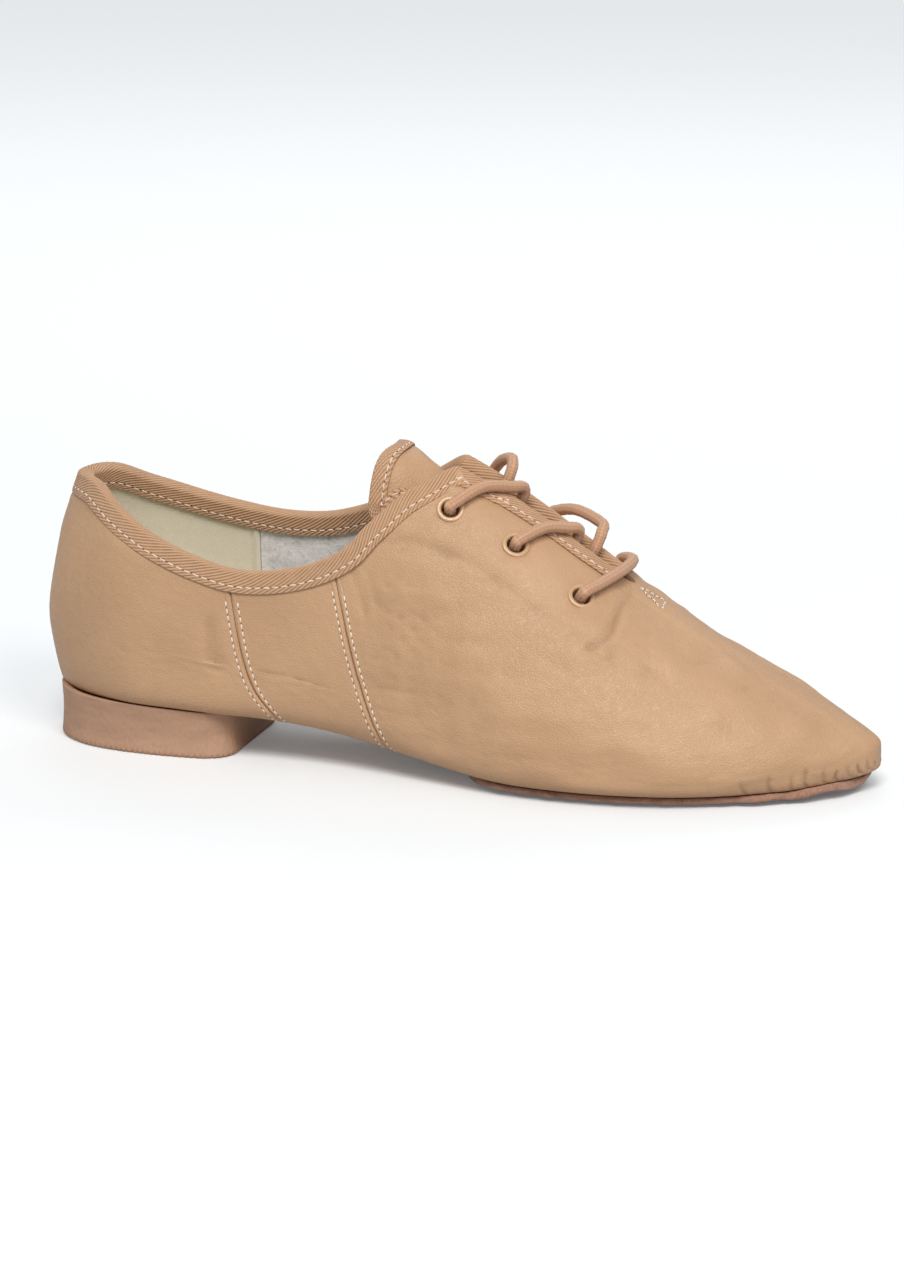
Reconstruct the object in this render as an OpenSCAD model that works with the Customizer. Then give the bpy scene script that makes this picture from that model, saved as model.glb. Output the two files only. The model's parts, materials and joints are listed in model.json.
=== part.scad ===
// Split-sole lace-up jazz shoe, right foot.
// Origin: on the floor under the centre of the heel. +X to the toe, +Y to the inner (medial)
// side, +Z up. The upper is described by one smooth skin: f runs from the heel back (0) to the
// toe tip (1) and v runs up a cross-section, from the bottom centre (0) through the widest
// height (1) to the ridge (2). Every layer lies at its own depth below that skin.

/* [Size] */
// Length of the upper from heel back to toe tip
upper_length = 250; // [235:1:265]
// Height of the rubber heel at its back edge
heel_height = 14.2; // [13:0.1:14.2]
// Thickness of the suede forefoot sole
sole_t = 1.7; // [1.2:0.1:1.7]

/* [Leather and linings] */
// Thickness of the leather panels
leather_t = 1.1; // [0.8:0.1:1.1]
// Thickness of the linings
lining_t = 0.6; // [0.4:0.1:0.6]
// Thickness of the heel counter
counter_t = 0.5; // [0.3:0.05:0.5]

/* [Binding] */
// Width of one leg of the folded binding tape
binding_w = 5.6; // [4:0.2:6]
// Thickness of the binding tape
binding_t = 0.5; // [0.3:0.05:0.6]

/* [Lacing] */
// Diameter of the round lace
lace_d = 3.2; // [2.4:0.1:3.2]
// Inner diameter of an eyelet
eyelet_bore_d = 5.2; // [5:0.1:5.3]
// Outer diameter of an eyelet's flange
eyelet_flange_d = 8; // [7.5:0.1:8.4]

/* [Hidden] */

LATERAL = -1;
MEDIAL = 1;
sample_length = 250;
grade = upper_length / sample_length;
heel_centre = 33;
step = 0.004;
tiny = 0.0001;

// Depths below the skin of each layer's outer face
gap = 0.2;
counter_depth = leather_t + gap + 0.04;
tape_depth = leather_t + 0.3;
stay_depth = leather_t + 0.45;
tape_t = 0.3;
stay_t = 0.3;
lining_depth = 2.1;
lining_back = lining_depth + lining_t;
board_depth = lining_back + 0.42;
board_t = 1.1;
pad_t = 1.8;
sock_t = 0.7;
thread_r = 0.28;

// Shape of the skin: [station along the shoe, value] for the sample length
half_width_lateral = [[0, 0], [12, 18.5], [30, 27], [50, 28.5], [75, 27.5], [100, 29.5], [130, 36],
    [155, 41.5], [178, 42.5], [200, 38.5], [225, 26.5], [242, 13], [250, 0]];
half_width_medial = [[0, 0], [12, 18.5], [30, 27], [50, 28], [75, 25.5], [100, 25.5], [130, 31],
    [155, 36.5], [178, 38.5], [200, 35], [225, 24.5], [242, 12], [250, 0]];
centre_y = [[0, 0], [60, 0], [120, 1], [180, 2.5], [250, 4]];
bottom_z = [[0, 14.5], [40, 13.3], [66, 12.2], [85, 10.5], [110, 6.5], [135, 2.8], [150, 1.9],
    [195, 1.9], [215, 2.2], [235, 3.2], [250, 7]];
widest_z = [[0, 37], [40, 33], [62, 30], [85, 28], [110, 23], [135, 18], [155, 15], [190, 12.5],
    [215, 11.5], [235, 11], [250, 10.5]];
ridge_z = [[0, 98], [40, 98], [62, 101], [85, 103], [105, 100], [120, 93.5], [135, 85.2], [150, 75.5],
    [165, 64.8], [180, 54.3], [195, 45], [210, 36.5], [225, 28.5], [238, 21.5], [246, 17], [250, 13.5]];
lower_power = [[0, 6], [55, 6], [75, 5], [100, 4], [130, 4.5], [155, 5.5], [225, 5], [242, 3.8], [250, 2.8]];
upper_power = [[0, 2], [60, 2], [100, 1.9], [130, 1.85], [160, 1.8], [200, 1.8], [250, 2]];
// Forward lean of the heel back against height
heel_lean = [[0, 8], [14, 4], [38, 0], [60, 4], [70, 7.5], [78, 10.5], [100, 16]];

// Height of the top edge along each side, rising past the ridge where the facing begins
topline_lateral = [[0, 78], [8, 78], [14, 76.6], [28, 70.4], [42, 64.3], [56, 59.5], [67, 57],
    [79, 57.6], [91, 60.9], [100, 66], [106, 73], [114, 81], [121, 85.4], [128, 90], [140, 99]];
topline_medial = [[0, 78], [8, 77.6], [22, 72.5], [39, 67.8], [56, 64.8], [68, 64], [80, 64.8],
    [90, 67.5], [98, 71], [107, 76.8], [116, 82.6], [123, 87.6], [130, 93], [140, 100]];
// Half of the open gap between the two facing edges
facing_gap = [[100, 6.6], [128, 6.2], [150, 4.4], [165, 3.5], [174, 2.3], [178, 1.4], [200, 0]];
throat = 178;
corner_round = 0.1;

// Stations of the two panel seams against height
heel_seam_line = [[11, 80.8], [16, 77.9], [23, 72.8], [30, 69.9], [42, 67.1], [58, 64.3], [75, 62.5]];
vamp_seam_line = [[5, 116], [12, 112.4], [21, 108.5], [32, 104.3], [45, 100.2], [58, 96.6], [75, 92.6]];
seam_gap = 0.12;
lining_seam_gap = 0.5;
margin_v = 0.3;
lining_join = 57.5;

// Eyelets: station and v
eyelet_places = [[128.6, 1.65], [147.8, 1.68], [167.5, 1.66]];

// Smooth curve through a table of points
function knot(t, x, i = 1) = i >= len(t) - 1 || x < t[i][0] ? i - 1 : knot(t, x, i + 1);
function slope(t, i) =
    let (a = max(0, i - 1), b = min(len(t) - 1, i + 1))
    (t[b][1] - t[a][1]) / (t[b][0] - t[a][0]);
function curve(t, x) =
    let (i = knot(t, x), h = t[i + 1][0] - t[i][0], e = (x - t[i][0]) / h)
    t[i][1] * (1 + 2 * e) * pow(1 - e, 2) + slope(t, i) * h * e * pow(1 - e, 2)
    + t[i + 1][1] * e * e * (3 - 2 * e) + slope(t, i + 1) * h * e * e * (e - 1);
function clamp(x, lo, hi) = max(lo, min(hi, x));
function mix(a, b, e) = a + (b - a) * e;
function ease(x, lo, hi) = let (e = clamp((x - lo) / (hi - lo), 0, 1)) e * e * (3 - 2 * e);
function soft_min(a, b, r) = (a + b - sqrt(pow(a - b, 2) + r * r)) / 2;
function unit(p) = p / norm(p);

// f spaces stations closely at both round ends
function frac(s) = acos(clamp(1 - 2 * s / sample_length, -1, 1)) / 180;
function station(f) = sample_length * (1 - cos(180 * f)) / 2;
function by_frac(t) = [for (k = t) [frac(k[0]), k[1]]];

lateral_table = by_frac(half_width_lateral);
medial_table = by_frac(half_width_medial);
centre_table = by_frac(centre_y);
bottom_table = by_frac(bottom_z);
widest_table = by_frac(widest_z);
ridge_table = by_frac(ridge_z);
lower_table = by_frac(lower_power);
upper_table = by_frac(upper_power);
topline_tables = [by_frac(topline_lateral), by_frac(topline_medial)];
gap_table = by_frac(facing_gap);

// Section values: half width, centre, bottom, widest height, ridge height, lower and upper powers
function section(f, side) = [
    curve(side < 0 ? lateral_table : medial_table, f), curve(centre_table, f),
    curve(bottom_table, f), curve(widest_table, f), curve(ridge_table, f),
    curve(lower_table, f), curve(upper_table, f)];

// Position on the skin; below v = 1 the spacing is evened out along the boxy lower corner
function warp(v, m) = pow(v, m) / (pow(v, m) + pow(1 - v, m));
function skin(f, side, v, c) =
    let (
        upper = v > 1,
        a = 90 * (upper ? v - 1 : warp(max(v, 0), c[5] / 2)),
        y = c[0] * (upper ? pow(cos(a), 2 / c[6]) : pow(sin(a), 2 / c[5])),
        z = c[3] + (upper ? (c[4] - c[3]) * pow(sin(a), 2 / c[6]) : (c[2] - c[3]) * pow(cos(a), 2 / c[5])),
        lean = curve(heel_lean, z) * pow(max(0, 1 - station(f) / 70), 1.5)
    )
    grade * [station(f) - heel_centre + lean, side * y + c[1], z];
function at(f, side, v) = skin(f, side, min(v, 2), section(f, side));

// Outward normal; it stays in the plane of symmetry at the ridge, heel back, toe tip and bottom
function normal(f, side, v) =
    let (
        g = clamp(f, step, 1 - step),
        h = clamp(v, 2 * step, 2 - step),
        c = section(g, side),
        along = skin(g + step, side, h, section(g + step, side))
            - skin(g - step, side, h, section(g - step, side)),
        across = skin(g, side, h + step, c) - skin(g, side, h - step, c),
        n = side * cross(across, along),
        centred = f < tiny || f > 1 - tiny || v < tiny || v > 2 - tiny
    )
    unit([n[0], centred ? 0 : n[1], n[2]]);
function below(f, side, v, depth) = at(f, side, v) - depth * normal(f, side, v);

// Surface coordinates reached after going a distance from (f, v) in a tangent direction
function walk(f, side, v, dir, distance) =
    let (
        pf = (at(f + step, side, v) - at(f - step, side, v)) / (2 * step),
        pv = (at(f, side, v) - at(f, side, v - step)) / step,
        det = (pf * pf) * (pv * pv) - pow(pf * pv, 2),
        df = ((dir * pf) * (pv * pv) - (dir * pv) * (pf * pv)) / det,
        dv = ((dir * pv) * (pf * pf) - (dir * pf) * (pf * pv)) / det
    )
    [f + distance * df, v + distance * dv];

// v of the top edge: the topline, then the facing edge, then the closed ridge
function v_at_height(f, z) =
    let (c = section(f, MEDIAL), r = clamp((z - c[3]) / (c[4] - c[3]), 0, 1.3))
    1 + (r < 1 ? asin(pow(r, c[6] / 2)) / 90 : 1 + (r - 1));
function v_at_gap(f, side) =
    let (c = section(f, side), g = curve(gap_table, f))
    1 + acos(pow(g / c[0], c[6] / 2)) / 90;
function edge_v(f, side) =
    let (s = station(f), topline = topline_tables[side < 0 ? 0 : 1])
    s >= throat - tiny ? 2 :
    s > 140 ? v_at_gap(f, side) :
    s > 100 ? soft_min(v_at_height(f, curve(topline, f)), v_at_gap(f, side), corner_round * ease(s, 100, 110)) :
    v_at_height(f, curve(topline, f));

// A seam holds its line, the station whose section gives its heights, and its top on each side
function seam_at(seam, side, v) = curve(seam[0], at(frac(seam[1]), side, v)[2] / grade);
function find_top(seam, side, s, tries) =
    tries == 0 ? s : find_top(seam, side, seam_at(seam, side, edge_v(frac(s), side)), tries - 1);
function make_seam(line, s) = [line, s, find_top([line, s], LATERAL, s, 5), find_top([line, s], MEDIAL, s, 5)];
function top_of(seam, side) = seam[side < 0 ? 2 : 3];
heel_seam = make_seam(heel_seam_line, 69);
vamp_seam = make_seam(vamp_seam_line, 100);
// f of a seam at a share b of the way up from v_low
function seam_f(seam, side, v_low, b, shift) =
    frac(seam_at(seam, side, mix(v_low, edge_v(frac(top_of(seam, side)), side), b)) + shift);

// Closed shell between two grids of points, given as rows of equal length
module shell(outer, inner) {
    rows = len(outer);
    cols = len(outer[0]);
    r0 = floor(rows / 2);
    c0 = floor((cols - 1) / 2);
    p0 = outer[r0][c0];
    turn = cross(outer[min(r0 + 1, rows - 1)][c0] - p0, outer[r0][c0 + 1] - p0) * (p0 - inner[r0][c0]) > 0;
    points = concat([for (r = outer) each r], [for (r = inner) each r]);
    n = rows * cols;
    quads = concat(
        [for (r = [0:rows - 2], c = [0:cols - 2]) let (k = r * cols + c) [k, k + cols, k + cols + 1, k + 1]],
        [for (r = [0:rows - 2], c = [0:cols - 2])
            let (k = n + r * cols + c) [k, k + 1, k + cols + 1, k + cols]],
        [for (r = [0:rows - 2]) let (k = r * cols) [k, k + n, k + n + cols, k + cols]],
        [for (r = [0:rows - 2]) let (k = r * cols + cols - 1) [k, k + cols, k + n + cols, k + n]],
        [for (c = [0:cols - 2]) [c, c + 1, c + 1 + n, c + n]],
        [for (c = [0:cols - 2]) let (k = (rows - 1) * cols + c) [k, k + n, k + n + 1, k + 1]]);
    polyhedron(points, [for (q = quads) each split(q, turn)], convexity = 6);
}

// Closed tube through rings of points
module tube(rings) {
    n = len(rings[0]);
    last = (len(rings) - 1) * n;
    polyhedron([for (r = rings) each r], concat(
        [for (i = [0:len(rings) - 2], k = [0:n - 1])
            let (a = i * n + k, b = i * n + (k + 1) % n) each split([a, b, b + n, a + n], false)],
        [for (k = [1:n - 2]) [0, k + 1, k]],
        [for (k = [1:n - 2]) [last, last + k, last + k + 1]]), convexity = 8);
}

// Two triangles of a quad, wound one way or the other
function split(q, turn) =
    turn ? [[q[0], q[2], q[1]], [q[0], q[3], q[2]]] : [[q[0], q[1], q[2]], [q[0], q[2], q[3]]];

// Points at two depths over a grid of [f, side, v]
function layer(grid, depth) = [for (row = grid) [for (p = row) below(p[0], p[1], p[2], depth)]];
module sheet(grid, depth, thickness) {
    shell(layer(grid, depth), layer(grid, depth + thickness));
}

// Closed shell of two mirrored halves, joined along the ridge from row "joined" on and at the tip
module toe_shell(outer_l, inner_l, outer_m, inner_m, joined) {
    rows = len(outer_l);
    cols = len(outer_l[0]);
    n = rows * cols;
    last = cols - 1;
    points = concat([for (r = outer_l) each r], [for (r = inner_l) each r],
        [for (r = outer_m) each r], [for (r = inner_m) each r]);
    function id(half, layer, r, c) =
        let (shared = half == 1 && (r == rows - 1 || (c == last && r >= joined)))
        (shared ? 0 : 2 * n * half) + n * layer + r * cols + c;
    quads = [for (h = [0, 1]) each [for (q = concat(
        [for (r = [0:rows - 2], c = [0:last - 1])
            [id(h, 0, r, c), id(h, 0, r, c + 1), id(h, 0, r + 1, c + 1), id(h, 0, r + 1, c)]],
        [for (r = [0:rows - 2], c = [0:last - 1])
            [id(h, 1, r, c), id(h, 1, r + 1, c), id(h, 1, r + 1, c + 1), id(h, 1, r, c + 1)]],
        [for (r = [0:rows - 2]) [id(h, 0, r, 0), id(h, 0, r + 1, 0), id(h, 1, r + 1, 0), id(h, 1, r, 0)]],
        [for (r = [0:joined - 1])
            [id(h, 0, r, last), id(h, 1, r, last), id(h, 1, r + 1, last), id(h, 0, r + 1, last)]],
        [for (c = [0:last - 1]) [id(h, 0, 0, c), id(h, 1, 0, c), id(h, 1, 0, c + 1), id(h, 0, 0, c + 1)]]))
        each split(q, h == 1)]];
    polyhedron(points, quads, convexity = 8);
}

// Shares of the way up a column; the few rows below the widest height are spread further
function shares(n, low = 0.38, widest = 0.44) =
    [for (i = [0:n]) let (e = i / n) e < low ? widest * e / low : mix(widest, 1, (e - low) / (1 - low))];

// Forward part: from a seam to the toe tip, each half as rows of [f, side, v]
function front_columns(start, cols, joined) =
    let (
        f0 = frac(start),
        f1 = frac(throat),
        back = [for (i = [0:joined]) mix(f0, f1, i / joined)],
        front = [for (i = [1:cols - joined]) mix(f1, 1, i / (cols - joined))]
    )
    concat(back, front);
function front_half(side, cols, joined, rises, top_trim, shift) =
    let (start = top_of(vamp_seam, side))
    [for (f_top = front_columns(start, cols, joined))
        let (
            e = (f_top - frac(start)) / (1 - frac(start)),
            v_top = f_top >= frac(throat) - tiny ? 2 : edge_v(f_top, side) - top_trim
        )
        [for (b = rises)
            let (f_low = seam_f(vamp_seam, side, margin_v, b, shift))
            [f_top + (f_low - frac(start)) * (1 - e), side, mix(margin_v, v_top, b)]]];

// Vamp and its two facings, with the eyelet holes
vamp_cols = 26;
vamp_joined = 14;
module vamp() {
    lateral = front_half(LATERAL, vamp_cols, vamp_joined, shares(16), 0, seam_gap);
    medial = front_half(MEDIAL, vamp_cols, vamp_joined, shares(16), 0, seam_gap);
    color("burlywood")
    difference() {
        toe_shell(layer(lateral, 0), layer(lateral, leather_t),
            layer(medial, 0), layer(medial, leather_t), vamp_joined);
        eyelet_holes();
    }
}

// Lining of the vamp and facings
module vamp_lining() {
    rises = shares(13);
    lateral = front_half(LATERAL, 26, 13, rises, 0.05, lining_seam_gap);
    medial = front_half(MEDIAL, 26, 13, rises, 0.05, lining_seam_gap);
    color("whitesmoke")
    difference() {
        toe_shell(layer(lateral, lining_depth), layer(lateral, lining_back),
            layer(medial, lining_depth), layer(medial, lining_back), 13);
        eyelet_holes();
    }
}

// Strip that wraps under the arch from one top edge to the other, between two station rules;
// a rule is a fixed station, or a seam with an offset
function rule_station(rule, side, b) =
    is_num(rule) ? rule : seam_at(rule[0], side, b * edge_v(frac(top_of(rule[0], side)), side)) + rule[1];
function wrap(rule0, rule1, along, across, top_trim) =
    [for (i = [0:along]) [for (j = [-across:across])
        let (
            side = j < 0 ? LATERAL : MEDIAL,
            b = abs(j) / across,
            f_top = mix(frac(rule_station(rule0, side, 1)), frac(rule_station(rule1, side, 1)), i / along)
        )
        [mix(frac(rule_station(rule0, side, b)), frac(rule_station(rule1, side, b)), i / along),
            side, b * (edge_v(f_top, side) - top_trim)]]];

// Middle panel that runs under the arch between the two seams
module arch_panel() {
    color("tan")
    sheet(wrap([heel_seam, seam_gap], [vamp_seam, -seam_gap], 7, 16, 0), 0, leather_t);
}
module arch_lining() {
    color("white")
    sheet(wrap(lining_join + seam_gap, [vamp_seam, -lining_seam_gap], 7, 14, 0.03), lining_depth, lining_t);
}

// Reinforcing tape behind a seam
module seam_tape(seam) {
    half = 4;
    sheet(wrap([seam, -half], [seam, half], 2, 16, 0.09), tape_depth, tape_t);
}
module heel_seam_tape() {
    color("ivory") seam_tape(heel_seam);
}
module vamp_seam_tape() {
    color("ivory") seam_tape(vamp_seam);
}

// One side of the heel, from the back seam to the heel seam
module heel_quarter(side) {
    start = 0.0008;
    grid = [for (i = [0:11])
        let (f_top = mix(start, frac(top_of(heel_seam, side) - seam_gap), i / 11))
        [for (b = shares(12))
            [mix(start, seam_f(heel_seam, side, margin_v, b, -seam_gap), i / 11),
                side, mix(margin_v, edge_v(f_top, side), b)]]];
    sheet(grid, 0, leather_t);
}
module heel_quarter_lateral() {
    color("burlywood") heel_quarter(LATERAL);
}
module heel_quarter_medial() {
    color("burlywood") heel_quarter(MEDIAL);
}

// Band round the heel back, reaching a station on both sides
function heel_band(reach, across, v_low, top_trim, rises, v_high = 2) =
    [for (i = [-across:across])
        let (side = i < 0 ? LATERAL : MEDIAL, f = frac(reach) * abs(i) / across)
        [for (b = rises) [f, side, mix(v_low, min(v_high, edge_v(f, side) - top_trim), b)]]];
module heel_lining() {
    color("beige")
    sheet(heel_band(lining_join - seam_gap, 12, margin_v, 0.03, shares(9)), lining_depth, lining_t);
}
module heel_counter() {
    color("lightgray") sheet(heel_band(52, 10, 0.72, 0, shares(6), 1.28), counter_depth, counter_t);
}

// Reinforcing strip under one facing, around the eyelets
module facing_stay(side) {
    grid = [for (s = [131:4:171])
        let (top = edge_v(frac(s), side) - 0.05)
        [for (b = shares(7)) [frac(s + 3 * (1 - b)), side, mix(1.42, top, b)]]];
    difference() {
        sheet(grid, stay_depth, stay_t);
        eyelet_holes();
    }
}
module facing_stay_lateral() {
    color("wheat") facing_stay(LATERAL);
}
module facing_stay_medial() {
    color("wheat") facing_stay(MEDIAL);
}

// Topline and facing edge from the lateral throat round the heel to the medial throat
binding_steps = 44;
binding_end = 172.5;
function edge_place(i) =
    let (side = i < 0 ? LATERAL : MEDIAL, f = frac(binding_end) * abs(i) / binding_steps)
    [f, side, edge_v(f, side)];
function edge_point(i) = let (p = edge_place(i)) at(p[0], p[1], p[2]);
// A point at a distance inside the edge and a height above the skin
function off_edge(i, inside, height) =
    let (
        p = edge_place(i),
        a = edge_point(max(-binding_steps, i - 1)),
        b = edge_point(min(binding_steps, i + 1)),
        tangent = unit(b - a),
        down = at(p[0], p[1], p[2] - 0.02) - at(p[0], p[1], p[2]),
        dir = unit(down - tangent * (down * tangent)),
        q = walk(p[0], p[1], p[2], dir, max(0, inside)),
        base = inside > 0 ? below(q[0], p[1], q[1], -height) : below(p[0], p[1], p[2], -height)
    )
    base + dir * min(0, inside);

// Folded tape over the edge: outer leg, fold, inner leg
module topline_binding() {
    clear = 0.25;
    top = -0.65;
    middle = -lining_back / 2;
    deep = -lining_back - 0.85;
    half = binding_w / 2;
    shoulder = top - binding_t / 2;
    outside = [[binding_w, clear + binding_t], [half, clear + binding_t], [shoulder, clear + binding_t],
        [top - binding_t, middle], [shoulder, deep - binding_t], [half, deep - binding_t],
        [binding_w, deep - binding_t]];
    inside = [[binding_w, clear], [half, clear], [top, clear], [top, middle], [top, deep],
        [half, deep], [binding_w, deep]];
    color("peru")
    shell([for (i = [-binding_steps:binding_steps]) [for (k = outside) off_edge(i, k[0], k[1])]],
        [for (i = [-binding_steps:binding_steps]) [for (k = inside) off_edge(i, k[0], k[1])]]);
}

// Line of thread lying on a surface: a thin three-sided bead through the given points
module thread(points, up) {
    n = len(points);
    tube([for (i = [0:n - 1])
        let (t = unit(points[min(n - 1, i + 1)] - points[max(0, i - 1)]), side = unit(cross(t, up[i])))
        [points[i] + side * thread_r, points[i] + up[i] * thread_r * 1.5, points[i] - side * thread_r]]);
}

// Tongue: an arched flap that hangs under the facings, its free end wide and bent down at the sides
tongue_drop = [[106, 8.3], [112, 6.6], [119, 7.4], [125, 9.8], [135, 10.2], [160, 10.2], [168, 9],
    [180, 5.4], [190, 5.2]];
tongue_half_width = [[100, 26], [108, 25.4], [111, 22.4], [114, 18.6], [118, 14.8],
    [123, 12.4], [130, 12], [160, 12.2], [190, 12.8]];
tongue_back = 107;
tongue_corner = 3.5;
tongue_shift = -0.2;
tongue_medial = 0.8;
tongue_sweep = 3.2;
tongue_t = 0.9;
tongue_lining_top = tongue_t + 0.3;
tongue_lining_under = tongue_lining_top + lining_t;
function tongue_side(u) = 0.97 * abs(u) * pow(abs(u) / 19, 3) / sqrt(1 + pow(abs(u) / 19, 6));
function tongue_bow(u) = 11 * (sqrt(1 + pow(u / 7, 2)) - 1);
// Across and down from the ridge at a distance along the cross-section
function tongue_line(s, u) =
    [u / pow(1 + pow(abs(u) / 16.2, 4), 0.25),
        mix(tongue_side(u), tongue_bow(u), ease(s, 109, 122)) * (1 - 0.5 * ease(s, 166, 182))];
function tongue_at(s, u, drop) =
    let (
        p = tongue_line(s, u),
        t = unit(tongue_line(s, u + 0.1) - tongue_line(s, u - 0.1)),
        wide = p[0] - drop * t[1],
        side_scale = u > 0 ? mix(tongue_medial, 1, ease(s, 118, 150)) : 1
    )
    grade * [s - heel_centre - tongue_sweep * pow(p[0] / 15, 2) * (1 - ease(s, 108, 134)),
        wide * side_scale + tongue_shift + curve(centre_table, frac(s)),
        curve(ridge_table, frac(s)) - curve(tongue_drop, s) - p[1] - drop * t[0]];
// Half width of the tongue drawn in by an inset, with rounded back corners
function tongue_half(s, inset) =
    let (c = tongue_back + tongue_corner, w = curve(tongue_half_width, max(s, c)))
    s >= c ? w - inset : w - tongue_corner + sqrt(max(0, pow(tongue_corner - inset, 2) - pow(c - s, 2)));
tongue_rows = [0.8, 2, 3.5, 4.6, 7.8, 13.1, 20.6, 30.2, 42, 54, 67, 80];
function tongue_grid(drop, inset) =
    [for (row = concat([inset], tongue_rows))
        [for (j = [-6:6]) tongue_at(tongue_back + row, j / 6 * tongue_half(tongue_back + row, inset), drop)]];
module tongue() {
    color("burlywood") shell(tongue_grid(0, 0), tongue_grid(tongue_t, 0));
}
module tongue_lining() {
    color("whitesmoke") shell(tongue_grid(tongue_lining_top, 0.2), tongue_grid(tongue_lining_under, 0.2));
}
// Rim of the tongue at an inset from its edge: along one side, round the back and along the other
rim_back = 5;
rim_corner = 9;
rim_end = 15;
function tongue_rim(i, inset, drop) =
    let (
        k = abs(i),
        side = i < 0 ? -1 : 1,
        c = tongue_back + tongue_corner,
        flat = curve(tongue_half_width, c) - tongue_corner,
        turn = 90 * (k - rim_back) / (rim_corner - rim_back),
        s = c + 1.07 * pow(k - rim_corner, 2)
    )
    k <= rim_back ? tongue_at(tongue_back + inset, side * flat * k / rim_back, drop) :
    k <= rim_corner ? tongue_at(c - (tongue_corner - inset) * cos(turn),
        side * (flat + (tongue_corner - inset) * sin(turn)), drop) :
    tongue_at(s, side * tongue_half(s, inset), drop);
module tongue_binding() {
    leg = binding_w * 0.8;
    low = tongue_lining_under + 0.5;
    high = -0.6;
    over = -0.3;
    shoulder = over - binding_t / 2;
    outside = [[leg, high - binding_t], [leg / 2, high - binding_t], [shoulder, high - binding_t],
        [over - binding_t, low / 2], [shoulder, low + binding_t], [leg / 2, low + binding_t],
        [leg, low + binding_t]];
    inside = [[leg, high], [leg / 2, high], [over, high], [over, low / 2], [over, low],
        [leg / 2, low], [leg, low]];
    color("peru")
    shell([for (i = [-rim_end:rim_end]) [for (k = outside) tongue_rim(i, k[0], k[1])]],
        [for (i = [-rim_end:rim_end]) [for (k = inside) tongue_rim(i, k[0], k[1])]]);
}
module tongue_binding_stitches() {
    last = rim_corner + 1;
    points = [for (i = [-last:last]) tongue_rim(i, binding_w * 0.65, -0.9 - binding_t)];
    color("linen") thread(points, [for (p = points) [0, 0, 1]]);
}

// Eyelets: a flange outside, a barrel through the layers, a washer inside
eyelet_wall = 0.4;
eyelet_r = eyelet_bore_d / 2;
barrel_r = eyelet_r + eyelet_wall;
washer_depth = lining_back + 0.95;
washer_t = 0.3;
washer_r = 3.6;
module place_eyelet(place, side) {
    f = frac(place[0]);
    n = normal(f, side, place[1]);
    translate(at(f, side, place[1])) rotate([0, acos(n[2]), atan2(n[1], n[0])]) children();
}
module at_eyelets() {
    for (side = [LATERAL, MEDIAL], place = eyelet_places) place_eyelet(place, side) children();
}
module eyelet_holes() {
    at_eyelets() translate([0, 0, -6]) cylinder(h = 9, r = barrel_r + 0.2, $fn = 32);
}
module eyelets() {
    color("burlywood")
    at_eyelets() rotate_extrude($fn = 48)
        polygon([[eyelet_r, 0.75], [eyelet_r + 0.5, 0.95], [eyelet_flange_d / 2 - 0.4, 0.75],
            [eyelet_flange_d / 2, 0.2], [barrel_r, 0.2], [barrel_r, -washer_depth - washer_t - 0.05],
            [barrel_r + 0.5, -washer_depth - washer_t - 0.1], [barrel_r + 0.5, -washer_depth - washer_t - 0.35],
            [eyelet_r + 0.1, -washer_depth - washer_t - 0.35]]);
}
module eyelet_washers() {
    color("silver")
    at_eyelets() translate([0, 0, -washer_depth - washer_t]) difference() {
        cylinder(h = washer_t, r = washer_r, $fn = 48);
        translate([0, 0, -1]) cylinder(h = 3, r = barrel_r + 0.05, $fn = 48);
    }
}

// Lace: an outside bar joins the front eyelets. Each end goes down through its eyelet, comes up
// through the gap, crosses over the other facing's edge and goes down through the next eyelet.
// Each control point is [station, side, v, height above the skin].
under = -6;
module lace() {
    color("rosybrown") rope(lace_path(), lace_d / 2, 6);
}
// Through an eyelet from outside to inside
function through(place, side, from) = [
    [place[0] + from * 0.15, side, place[1] + 0.008, 2.9],
    [place[0], side, place[1], 1],
    [place[0], side, place[1], -1.6],
    [place[0], side, place[1], -4.4]];
// From the inside of one eyelet, up through the gap and over the edge to the next one
function crossing(place, next, side, s, lift) = [
    [place[0] - 0.2, side, place[1] + 0.045, under],
    [mix(place[0], s, 0.6), side, mix(place[1], 1.95, 0.5), under],
    [s + 1, side, 1.95, under + 0.3],
    [s + 0.3, side, 1.99, under + 1.6],
    [s, side, 2, -1.6],
    [s - 0.4, -side, 1.992, 1.4],
    [s - 1.4, -side, 1.965, mix(2.6, lift, 0.6)],
    [s - 3.2, -side, 1.91, lift],
    [mix(s, next[0], 0.6), -side, mix(next[1], 2, 0.42), mix(2.6, lift, 0.6)]];
function lace_half(side, s1, s2, lift1, lift2) =
    let (front = eyelet_places[2], middle = eyelet_places[1], back = eyelet_places[0])
    concat(
        [[173.5, side, 1.87, 3.3], [170.6, side, 1.74, 3.1]],
        through(front, side, 3),
        crossing(front, middle, side, s1, lift1),
        through(middle, -side, 3),
        crossing(middle, back, -side, s2, lift2),
        through(back, side, 3),
        [[128.2, side, 1.61, under], [127.4, side, 1.55, under - 0.1],
            [126.8, side, 1.48, under - 0.2], [126, side, 1.4, under - 0.2]]);
function lace_control(c) = below(frac(c[0]), c[1], c[2], -c[3]);
function smooth_line(p, n) =
    [for (i = [0:len(p) - 2]) each
        let (a = p[max(0, i - 1)], b = p[i], c = p[i + 1], d = p[min(len(p) - 1, i + 2)])
        [for (k = [0:n - 1]) let (e = k / n)
            0.5 * (2 * b + (c - a) * e + (2 * a - 5 * b + 4 * c - d) * pow(e, 2)
                + (3 * b - a - 3 * c + d) * pow(e, 3))]];
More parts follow.
